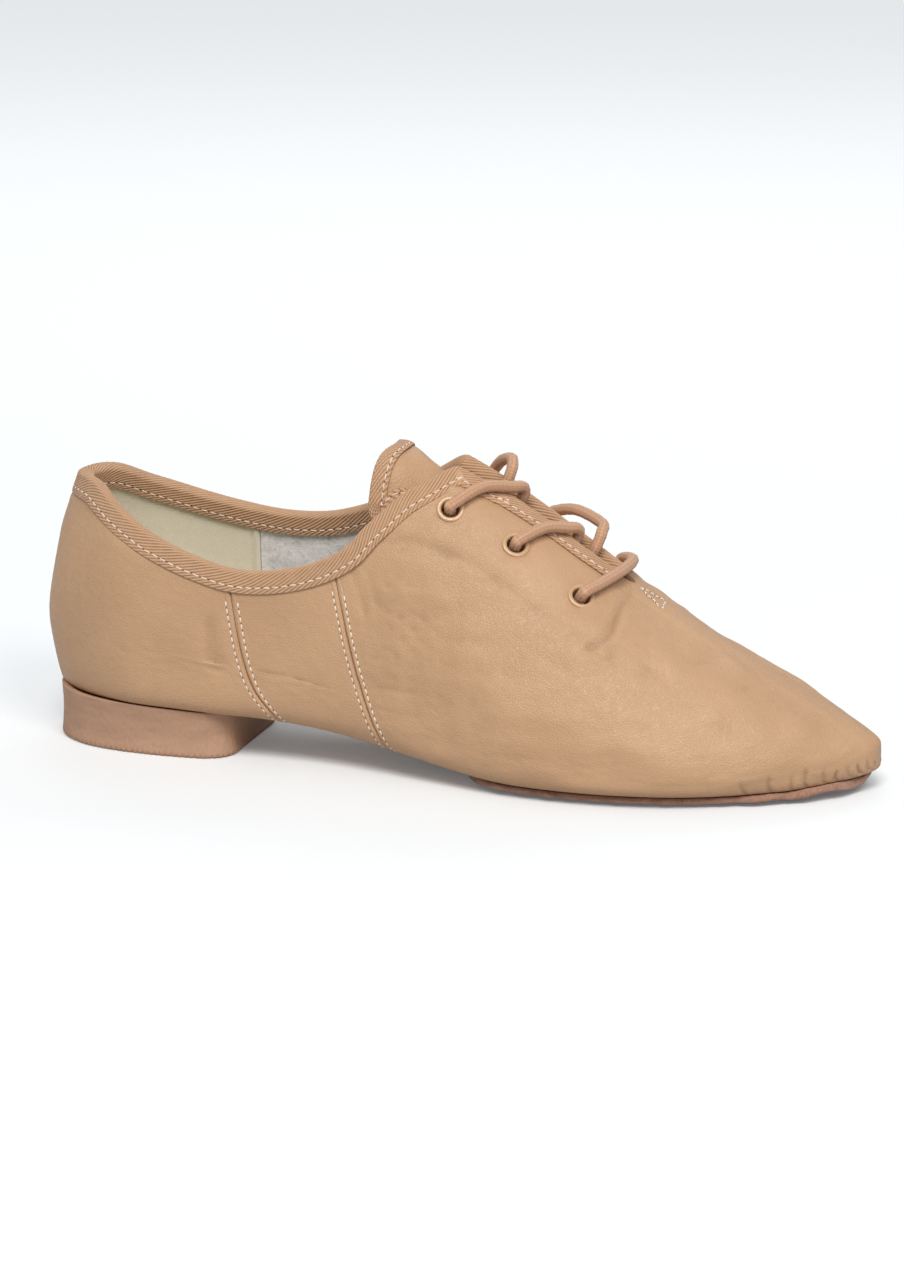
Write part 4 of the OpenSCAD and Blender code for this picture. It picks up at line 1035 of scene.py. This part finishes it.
# ---------------------------------------------------------------- materials
class Look:
    """A node material: its tree, and short ways to add and join nodes."""

    def __init__(self, name, coords="rest"):
        self.material = bpy.data.materials.new(name)
        self.material.use_nodes = True
        self.tree = self.material.node_tree
        self.bsdf = self.tree.nodes["Principled BSDF"]
        if coords == "object":
            self.place = self.add("ShaderNodeTexCoord").outputs["Object"]
        else:
            self.place = self.attribute(coords, "Vector")

    def add(self, kind, **values):
        node = self.tree.nodes.new(kind)
        for key, value in values.items():
            setattr(node, key, value)
        return node

    def link(self, a, b):
        self.tree.links.new(a, b)

    def fill(self, node, **values):
        for key, value in values.items():
            node.inputs[key.replace("_", " ")].default_value = value

    def attribute(self, name, output):
        return self.add("ShaderNodeAttribute", attribute_name=name).outputs[output]

    def noise(self, scale, detail=3.0, rough=0.55, stretch=None, distortion=0.0):
        node = self.add("ShaderNodeTexNoise")
        place = self.place
        if stretch:
            mapping = self.add("ShaderNodeMapping")
            self.fill(mapping, Scale=stretch)
            self.link(place, mapping.inputs["Vector"])
            place = mapping.outputs["Vector"]
        self.link(place, node.inputs["Vector"])
        self.fill(node, Scale=scale, Detail=detail, Roughness=rough, Distortion=distortion)
        return node.outputs["Fac"]

    def cells(self, scale):
        node = self.add("ShaderNodeTexVoronoi", feature="DISTANCE_TO_EDGE")
        self.link(self.place, node.inputs["Vector"])
        self.fill(node, Scale=scale)
        return node.outputs["Distance"]

    def math(self, operation, a, b=0.0, c=0.0):
        node = self.add("ShaderNodeMath", operation=operation)
        for slot, value in enumerate((a, b, c)):
            if isinstance(value, (int, float)):
                node.inputs[slot].default_value = value
            else:
                self.link(value, node.inputs[slot])
        return node.outputs[0]

    def ramp(self, value, stops):
        node = self.add("ShaderNodeValToRGB")
        elements = node.color_ramp.elements
        while len(elements) < len(stops):
            elements.new(0.5)
        for element, (place, colour) in zip(elements, stops):
            element.position = place
            element.color = (*colour, 1)
        self.link(value, node.inputs["Fac"])
        return node.outputs["Color"]

    def blend(self, factor, a, b):
        node = self.add("ShaderNodeMix", data_type="RGBA")
        for slot, value in ((0, factor), (6, a), (7, b)):
            if isinstance(value, (int, float)):
                node.inputs[slot].default_value = value
            elif isinstance(value, tuple):
                node.inputs[slot].default_value = (*value, 1)
            else:
                self.link(value, node.inputs[slot])
        return node.outputs[2]

    def span(self, value, low, high, to_low, to_high):
        node = self.add("ShaderNodeMapRange")
        self.link(value, node.inputs["Value"])
        self.fill(node, From_Min=low, From_Max=high, To_Min=to_low, To_Max=to_high)
        return node.outputs["Result"]

    def parts(self, name):
        """The three numbers of a vector attribute."""
        split = self.add("ShaderNodeSeparateXYZ")
        self.link(self.attribute(name, "Vector"), split.inputs[0])
        return split.outputs

    def set(self, **values):
        for key, value in values.items():
            socket = self.bsdf.inputs[key.replace("_", " ")]
            if hasattr(value, "links"):
                self.link(value, socket)
            elif isinstance(value, tuple):
                socket.default_value = (*value, 1)
            else:
                socket.default_value = value

    def bump(self, height, strength, distance):
        node = self.add("ShaderNodeBump")
        self.fill(node, Strength=strength, Distance=distance * MM)
        self.link(height, node.inputs["Height"])
        self.link(node.outputs["Normal"], self.bsdf.inputs["Normal"])


def srgb(r, g, b):
    """Linear colour from 8-bit display values."""
    return tuple(((c / 255 + 0.055) / 1.055) ** 2.4 if c > 10 else c / 3295 for c in (r, g, b))


def shade(colour, factor, warm=0.0):
    return (colour[0] * factor * (1 + warm), colour[1] * factor, colour[2] * factor * (1 - warm))


def leather_look(name, colour, creases=True, gloss=0.36):
    """Smooth leather: mottled dye, fine grain and pores, and painted shade darkening the creases.
    """
    look = Look(name)
    patches = look.noise(28, 2)
    mottle = look.noise(240, 3)
    base = look.blend(look.span(patches, 0.35, 0.65, 0, 1), shade(colour, 0.93, 0.02),
                      shade(colour, 1.04))
    base = look.blend(look.span(mottle, 0.3, 0.7, 0, 0.2), base, shade(colour, 0.8, 0.04))
    # painted shade: the creases and grooves of the relief are darkened towards a warm dark brown
    if creases:
        low = look.span(look.attribute("crease", "Fac"), -0.3, -0.04, 1, 0)
        base = look.blend(look.math("MULTIPLY", low, 0.34), base, shade(colour, 0.42, 0.1))
    grain = look.cells(1350)
    pores = look.noise(2600, 2)
    height = look.math("MULTIPLY_ADD", look.span(grain, 0, 0.28, 0, 1), 0.6,
                       look.math("MULTIPLY", pores, 0.55))
    height = look.math("MULTIPLY_ADD", look.noise(620, 3), 0.8, height)
    look.set(Base_Color=base, Roughness=look.span(mottle, 0.3, 0.7, gloss, gloss + 0.12),
             Specular_IOR_Level=0.42)
    look.bump(height, 0.7, 0.17)
    return look.material


def suede_look(name, colour, coords="rest"):
    """Suede: a fine nap, brushed lighter in patches."""
    look = Look(name, coords)
    nap = look.noise(1500, 5, 0.7)
    brushed = look.noise(160, 4, 0.6)
    base = look.ramp(nap, [(0.25, shade(colour, 0.55, 0.05)), (0.55, colour),
                           (0.8, shade(colour, 1.45))])
    base = look.blend(look.span(brushed, 0.35, 0.7, 0, 0.4), base, shade(colour, 1.3))
    look.set(Base_Color=base, Roughness=0.95, Sheen_Weight=0.35, Specular_IOR_Level=0.15)
    look.bump(look.math("MULTIPLY_ADD", brushed, 0.8, nap), 0.8, 0.45)
    return look.material


def tape_look(name, colour):
    """Twill tape: ribs with fine yarns across them, painted shade in the valleys between ribs and
    between yarns, and painted highlight on the rib crests.
    """
    look = Look(name)
    along, across, _ = look.parts("tape")
    phase = look.math("MULTIPLY_ADD", along, math.sin(TWILL_ANGLE),
                      look.math("MULTIPLY", across, math.cos(TWILL_ANGLE)))
    wave = look.math("SINE", look.math("MULTIPLY", phase, 2 * math.pi / TWILL_PITCH))
    slope = look.math("SUBTRACT", along, look.math("MULTIPLY", across, 0.6))
    yarn = look.math("SINE", look.math("MULTIPLY", slope, 13.0))
    high = look.span(wave, -1, 0.7, 0, 1)
    # painted shade in the valleys between the ribs and painted highlight on their crests
    base = look.ramp(high, [(0.0, shade(colour, 0.52, 0.06)), (0.35, shade(colour, 0.95)),
                            (1.0, shade(colour, 1.2))])
    # painted shade in the grooves between the yarns
    base = look.blend(look.span(yarn, -1, 1, 0.0, 0.22), base, shade(colour, 0.62, 0.03))
    base = look.blend(look.span(look.noise(420, 4), 0.35, 0.7, 0, 0.3), base, shade(colour, 1.25))
    height = look.math("MULTIPLY_ADD", look.noise(2500, 3), 0.5, high)
    height = look.math("MULTIPLY_ADD", yarn, 0.16, height)
    look.set(Base_Color=base, Roughness=0.82, Sheen_Weight=0.15, Specular_IOR_Level=0.25)
    look.bump(height, 0.75, 0.16)
    return look.material


def cord_look(name, colour):
    """Braided cord: painted highlight where the rounds of yarn catch the light, and painted shade
    at the dark crossings and between the fibres.
    """
    look = Look(name)
    along, around, braid = look.parts("tape")
    fibre = look.math("SINE", look.math("MULTIPLY_ADD", along, 24.0,
                                        look.math("MULTIPLY", around, 12.0)))
    # painted shade at the crossings of the braid and painted highlight on its rounds
    base = look.ramp(look.span(braid, -1, 1, 0, 1),
                     [(0.0, shade(colour, 0.5, 0.05)), (0.45, colour), (1.0, shade(colour, 1.25))])
    # painted shade in the grooves between the fibres
    base = look.blend(look.span(fibre, -1, 1, 0, 0.16), base, shade(colour, 0.72, 0.03))
    height = look.math("MULTIPLY_ADD", look.noise(2600, 3), 0.5, look.math("MULTIPLY", fibre, 0.3))
    look.set(Base_Color=base, Roughness=0.6, Sheen_Weight=0.2, Specular_IOR_Level=0.4)
    look.bump(look.math("MULTIPLY_ADD", braid, 0.6, height), 0.7, 0.16)
    return look.material


def cloth_look(name, colour, fuzz, coords="rest"):
    """Brushed or smooth lining cloth; fuzz is how woolly it is."""
    look = Look(name, coords)
    wool = look.noise(330, 6, 0.68, distortion=0.6)
    fine = look.noise(1900, 3, 0.7)
    base = look.ramp(wool, [(0.3, shade(colour, 1 - 0.3 * fuzz)), (0.55, colour),
                            (0.8, shade(colour, 1 + 0.06 * fuzz))])
    base = look.blend(look.span(fine, 0.3, 0.7, 0, 0.12), base, shade(colour, 0.8))
    look.set(Base_Color=base, Roughness=0.92, Sheen_Weight=0.2 * fuzz, Specular_IOR_Level=0.2)
    look.bump(look.math("MULTIPLY_ADD", fine, 0.4, look.math("MULTIPLY", wool, fuzz)), 0.7, 0.5)
    return look.material


def thread_look(name, colour):
    """Twisted sewing thread."""
    look = Look(name)
    twist = look.noise(2200, 2, 0.5, (1, 1, 2.5))
    base = look.ramp(twist, [(0.3, shade(colour, 0.8)), (0.6, colour)])
    look.set(Base_Color=base, Roughness=0.6, Sheen_Weight=0.1)
    look.bump(twist, 0.5, 0.08)
    return look.material


def rubber_look(name, colour):
    """Matt rubber with drawn-out smears and fine specks."""
    look = Look(name)
    smear = look.noise(70, 4, 0.6, (0.35, 0.35, 1.6))
    speck = look.noise(1300, 4, 0.65)
    base = look.blend(look.span(smear, 0.3, 0.7, 0, 1), shade(colour, 0.86, 0.03),
                      shade(colour, 1.12))
    base = look.blend(look.span(speck, 0.35, 0.75, 0, 0.35), base, shade(colour, 0.7))
    look.set(Base_Color=base, Roughness=look.span(smear, 0.3, 0.7, 0.55, 0.78),
             Specular_IOR_Level=0.35)
    look.bump(look.math("MULTIPLY_ADD", smear, 0.6, speck), 0.35, 0.3)
    return look.material


def metal_look(name, colour, roughness, metallic, coords="rest"):
    """Metal or enamel, rubbed duller in patches."""
    look = Look(name, coords)
    worn = look.noise(900, 4, 0.6)
    base = look.blend(look.span(worn, 0.35, 0.7, 0, 0.4), colour, shade(colour, 0.75, 0.03))
    look.set(Base_Color=base, Roughness=look.span(worn, 0.3, 0.7, roughness, roughness + 0.15),
             Metallic=metallic, Coat_Weight=0.3 * (1 - metallic))
    look.bump(worn, 0.12, 0.05)
    return look.material


TAN = srgb(199, 160, 124)
looks = {name: kind(name, *values) for name, kind, *values in (
    ("upper_leather", leather_look, TAN),
    ("tongue_leather", leather_look, shade(TAN, 0.97, 0.01)),
    ("binding_tape", tape_look, srgb(196, 156, 122)),
    ("white_lining", cloth_look, srgb(240, 238, 236), 1.0),
    ("heel_lining", cloth_look, srgb(236, 228, 204), 0.15),
    ("seam_tape", cloth_look, srgb(225, 221, 210), 0.3),
    ("white_thread", thread_look, srgb(250, 240, 228)),
    ("tan_thread", thread_look, srgb(244, 226, 206)),
    # painted shade: dark brown for the beads sunk at each needle hole
    ("needle_holes", thread_look, srgb(96, 66, 50)),
    ("eyelet_enamel", metal_look, srgb(208, 170, 132), 0.3, 0.1),
    ("lace_cord", cord_look, srgb(204, 158, 124)),
    ("sole_suede", suede_look, srgb(168, 127, 107)),
    ("heel_rubber", rubber_look, srgb(186, 148, 122)),
    ("sock_leather", leather_look, srgb(226, 219, 200), False, 0.6))}
cad_looks = {name: kind(name, *values, coords="object") for name, kind, *values in (
    ("counter_board", cloth_look, srgb(222, 219, 210), 0.2),
    ("stay_cloth", cloth_look, srgb(225, 221, 210), 0.3),
    ("washer_metal", metal_look, srgb(196, 178, 120), 0.3, 1.0),
    ("aglet_film", metal_look, srgb(190, 150, 120), 0.2, 0.0),
    ("filler_felt", cloth_look, srgb(190, 180, 165), 1.0),
    ("insole_board", suede_look, srgb(190, 165, 135)),
    ("heel_foam", cloth_look, srgb(224, 220, 210), 0.5),
    ("nail_steel", metal_look, srgb(190, 190, 192), 0.3, 1.0))}
# The stays are of the same cloth as the seam tapes, and share their slot
cad_looks["seam_tape"] = cad_looks.pop("stay_cloth")


# ---------------------------------------------------------------- pieces
# f at which the heel quarters start, just off the back of the heel
BACK_F = 0.0008
LINING_TRIM = 0.03
TAPE_HALF = 4
SOCK_DEPTH = LINING_BACK + 0.42 + 1.1 + 0.3
TACK_CORNERS = [(THROAT + 1.2, -1.2), (THROAT + 9, -4.4), (THROAT + 8.4, 1.8), (THROAT + 1.2, -1.2)]


def finish_piece(obj, look, nodes=(), body=None):
    """Material, the CAD nodes it stands for (hidden), and the body it moves with; without one its
    place is baked in."""
    obj.data.materials.clear()
    obj.data.materials.append(looks[look])
    if nodes:
        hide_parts(*nodes)
    if body:
        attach(obj, body)
    else:
        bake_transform(obj)


def finish_sewn(name, rows, size, look, nodes=(), body=None):
    """Rows of stitches and the dark beads of painted shade at each needle hole, finished."""
    thread, hole_shade = sew(name, rows, size)
    finish_piece(thread, look, nodes, body)
    finish_piece(hole_shade, "needle_holes", (), body)


def build_upper():
    vamp = front_shell("vamp_leather", 0.72, 128, 0, SEAM_GAP, 0, LEATHER_T, True, 3.0)
    finish_piece(vamp, "upper_leather", ["vamp"])
    width = vamp_seam.top[LATERAL] - heel_seam.top[LATERAL]
    columns = stations_from(0, width, 0.7, True, True) / width
    f, side, v = wrap_grid(seam_rule(heel_seam, SEAM_GAP), seam_rule(vamp_seam, -SEAM_GAP),
                           columns, 120, 0)
    arch = sheet_object("arch_leather", f, side, v, 0, LEATHER_T, both_sides(f, side, v))
    finish_piece(arch, "upper_leather", ["arch_panel"])
    for side, name in ((LATERAL, "heel_quarter_lateral"), (MEDIAL, "heel_quarter_medial")):
        last = float(frac(heel_seam.top[side] - SEAM_GAP))
        e = 1 - stations_from(0, 88, 0.8)[::-1, None] / 88
        b = shares(110)[None]
        f = mix(BACK_F, heel_seam.f(side, b, -SEAM_GAP), e)
        v = mix(MARGIN_V, edge_v(mix(BACK_F, last, e), side), b)
        quarter = sheet_object(name + "_leather", f, np.full(f.shape, side), v, 0, LEATHER_T,
                               with_relief(f, side, v)[2])
        finish_piece(quarter, "upper_leather", [name])


def build_linings():
    front = front_shell("vamp_lining_cloth", 1.5, 64, 0.05, 0.5, LINING_DEPTH, LINING_T, False,
                        3.05)
    finish_piece(front, "white_lining", ["vamp_lining"])
    f, side, v = wrap_grid(fixed_rule(LINING_JOIN + 0.12), seam_rule(vamp_seam, -0.5),
                           np.linspace(0, 1, 40), 70, LINING_TRIM)
    arch = sheet_object("arch_lining_cloth", f, side, v, LINING_DEPTH, LINING_T)
    finish_piece(arch, "white_lining", ["arch_lining"])
    j = np.linspace(-1, 1, 221)[:, None]
    side = np.where(j < 0, LATERAL, MEDIAL)
    f = frac(LINING_JOIN - 0.12) * np.abs(j)
    v = mix(MARGIN_V, np.minimum(2, edge_v(f, side) - LINING_TRIM), shares(64)[None])
    f, side = np.broadcast_arrays(f, side, v)[:2]
    join = station(f) - LINING_JOIN
    bead = -0.5 * bell(join + 1.2, 0.9) + 0.25 * bell(join + 3.2, 0.5) * (np.sin(v * 330) > 0)
    heel = sheet_object("heel_lining_skin", f, side, v, LINING_DEPTH, LINING_T, 0.0, bead)
    finish_piece(heel, "heel_lining", ["heel_lining"])
    for seam, name in ((heel_seam, "heel_seam_tape"), (vamp_seam, "vamp_seam_tape")):
        f, side, v = wrap_grid(seam_rule(seam, -TAPE_HALF), seam_rule(seam, TAPE_HALF),
                               np.linspace(0, 1, 7), 70, 0.09)
        tape = sheet_object(name + "_cloth", f, side, v, TAPE_DEPTH, TAPE_T)
        finish_piece(tape, "seam_tape", [name])
    f, j = np.broadcast_arrays(frac(np.linspace(6.5, 236, 200)[:, None]),
                               np.linspace(-1, 1, 61)[None])
    over_pad = 1.95 * (1 - ease(station(f), 58, 72))
    sock = sheet_object("sock_skin", f, np.where(j < 0, LATERAL, MEDIAL), 0.44 * np.abs(j),
                        SOCK_DEPTH + over_pad, SOCK_T)
    finish_piece(sock, "sock_leather", ["sock_liner"])


def build_binding():
    f, side, v, along = edge_path(BINDING_END, 0.34)
    row = BINDING_W * 0.7

    def place(inside, height):
        return off_edge(f, side, v, inside, height)
    profile = fold_profile(BINDING_W, 0.95, 0.74, -LINING_BACK - 1.3, row)
    tape = tape_object("topline_tape", place, along, profile)
    finish_piece(tape, "binding_tape", ["topline_binding"])
    points, inner = (place(np.full((len(f), 1), row), np.full((len(f), 1), height))[:, 0]
                     for height in (0.6, -LINING_BACK - 1.2))
    normals = unit(points - inner)
    finish_sewn("binding_thread", [(points, normals)], BINDING_STITCH, "tan_thread",
                ["binding_stitches"])
    finish_sewn("binding_thread_inside", [(inner, -normals)], BINDING_STITCH, "tan_thread")


def build_stitches():
    for seam, name in ((heel_seam, "heel_seam"), (vamp_seam, "vamp_seam")):
        finish_sewn(name + "_thread", seam_rows(seam), SEAM_STITCH, "white_thread",
                    [name + "_stitches"])
    rows = []
    for a, b in zip(TACK_CORNERS, TACK_CORNERS[1:]):
        line = np.array(a) + np.linspace(0, 1, 40)[:, None] * (np.array(b) - a)
        line[:, 1] += 0.35 * np.sin(np.linspace(0, 4 * np.pi, 40))
        f = frac(line[:, 0])
        side = np.where(line[:, 1] < 0, LATERAL, MEDIAL)
        p, n, _, _ = skin_and_normal(f, side, v_off_ridge(f, side, np.abs(line[:, 1])))
        rows.append((p + 0.08 * n, n))
    finish_sewn("bar_tack_thread", rows, TACK_STITCH, "white_thread", ["throat_bar_tack"],
                "forefoot")


def build_tongue():
    leather = tongue_sheet("tongue_leather", 0, TONGUE_T, 0, 0.12)
    finish_piece(leather, "tongue_leather", ["tongue"], "tongue")
    lining = tongue_sheet("tongue_cloth", TONGUE_T + 0.3, TONGUE_T + 0.9, 0.2)
    finish_piece(lining, "white_lining", ["tongue_lining"], "tongue")
    k, along = tongue_path(0.3)
    row = BINDING_W * 0.62

    def place(inside, height):
        return tongue_rim(np.broadcast_to(k[:, None], inside.shape), inside, -height)
    profile = fold_profile(BINDING_W * 0.8, 0.62, 0.92, -2.78, row)
    tape = tape_object("tongue_tape", place, along, profile, -1.0)
    finish_piece(tape, "binding_tape", ["tongue_binding"], "tongue")
    points, beside = (tongue_rim(k, inset, -0.8) for inset in (row, row + 0.5))
    normals = unit(np.cross(beside - points, np.gradient(points, axis=0)))
    normals *= np.sign(normals[:, 2:])
    finish_sewn("tongue_thread", [(points, normals)], BINDING_STITCH, "tan_thread",
                ["tongue_binding_stitches"], "tongue")


def build_rest():
    finish_piece(eyelets(), "eyelet_enamel", ["eyelets"], "forefoot")
    finish_piece(lace(), "lace_cord", ["lace"], "forefoot")
    finish_piece(forefoot_sole(), "sole_suede", ["forefoot_sole"], "forefoot")
    finish_piece(heel_block(), "heel_rubber", ["heel_block"], "heel")


def paint_cad():
    """Procedural finishes for the CAD nodes that are shown as they are."""
    slots = {row["node"]: row["material_slot"] for row in frame["record"]["subparts"]}
    for name, obj in frame["nodes"].items():
        if obj.hide_render:
            continue
        obj.data.materials.clear()
        obj.data.materials.append(cad_looks[slots[name]])


# ---------------------------------------------------------------- stage, light and camera
SKY_COLOUR, SUN_COLOUR, BOX_COLOUR = (0.93, 0.965, 1.0), (1.0, 0.985, 0.965), (1.0, 0.985, 0.96)
FLOOR_GLOW, SKY, SUN = 0.1, 0.38, 1.72
FLOOR_SIZE, FLOOR_DROP = 9.0, 0.02 * MM
FLOOR_BOUNCE, FLOOR_SEEN = (0.62, 0.62, 0.62), (0.86, 0.885, 0.9)
SUN_PLACE, SUN_ANGLE = (0.12, -0.74, 1.0), 24
LIT_CENTRE = (0.09, 0, 0.03)
# Degrees round from the outer side towards the toe, degrees up, metres away
CAMERA_TURN, CAMERA_LIFT, CAMERA_DISTANCE = 17, 15, 1.3
CAMERA_TARGET, CAMERA_LENS, CAMERA_SENSOR = (0.091, 0, 0.035), 126.3, 36


def facing(way):
    """Rotation that points a light or a camera along a direction."""
    return way.to_track_quat("-Z", "Y").to_euler()


def build_stage():
    """A pale floor that looks lighter to the camera than the light it throws back."""
    mesh = bpy.data.meshes.new("floor")
    corners = ((-1, -1), (1, -1), (1, 1), (-1, 1))
    mesh.from_pydata([(x * FLOOR_SIZE, y * FLOOR_SIZE, 0) for x, y in corners], [], [(0, 1, 2, 3)])
    floor = linked("floor", mesh)
    floor.location.z = -FLOOR_DROP
    look = Look("floor", "object")
    seen = look.add("ShaderNodeLightPath").outputs["Is Camera Ray"]
    look.set(Base_Color=look.blend(seen, FLOOR_BOUNCE, FLOOR_SEEN), Roughness=0.85,
             Specular_IOR_Level=0.1, Emission_Color=SKY_COLOUR,
             Emission_Strength=look.math("MULTIPLY", seen, FLOOR_GLOW))
    floor.data.materials.append(look.material)


def light(name, kind, power, colour, way):
    data = bpy.data.lights.new(name, kind)
    data.energy, data.color = power, colour
    obj = linked(name, data)
    obj.rotation_euler = facing(way)
    return obj


def area_light(name, place, size, power, colour):
    obj = light(name, "AREA", power, colour, Vector(LIT_CENTRE) - Vector(place))
    obj.location = place
    obj.data.shape = "RECTANGLE"
    obj.data.size, obj.data.size_y = size


def build_light():
    world = bpy.data.worlds.new("studio")
    bpy.context.scene.world = world
    world.use_nodes = True
    background = world.node_tree.nodes["Background"]
    background.inputs["Color"].default_value = (*SKY_COLOUR, 1)
    background.inputs["Strength"].default_value = SKY
    area_light("front_softbox", (0.75, -0.75, 0.95), (0.5, 0.5), 5.0, BOX_COLOUR)
    area_light("back_rim", (-0.1, 1.0, 0.9), (1.2, 0.5), 3.0, (1, 1, 1))
    sun = light("sun", "SUN", SUN, SUN_COLOUR, -Vector(SUN_PLACE))
    sun.data.angle = math.radians(SUN_ANGLE)


def build_camera():
    """The camera at the photo's viewing angle."""
    turn, lift = math.radians(CAMERA_TURN), math.radians(CAMERA_LIFT)
    level = math.cos(lift)
    back = Vector((math.sin(turn) * level, -math.cos(turn) * level, math.sin(lift)))
    data = bpy.data.cameras.new("camera")
    data.lens, data.sensor_width, data.sensor_fit = CAMERA_LENS, CAMERA_SENSOR, "AUTO"
    camera = linked("camera", data)
    camera.location = Vector(CAMERA_TARGET) + CAMERA_DISTANCE * back
    camera.rotation_euler = facing(-back)
    bpy.context.scene.camera = camera


build_upper()
build_linings()
build_binding()
build_stitches()
build_tongue()
build_rest()
paint_cad()
build_stage()
build_light()
build_camera()
bpy.context.scene.view_settings.view_transform = "Standard"
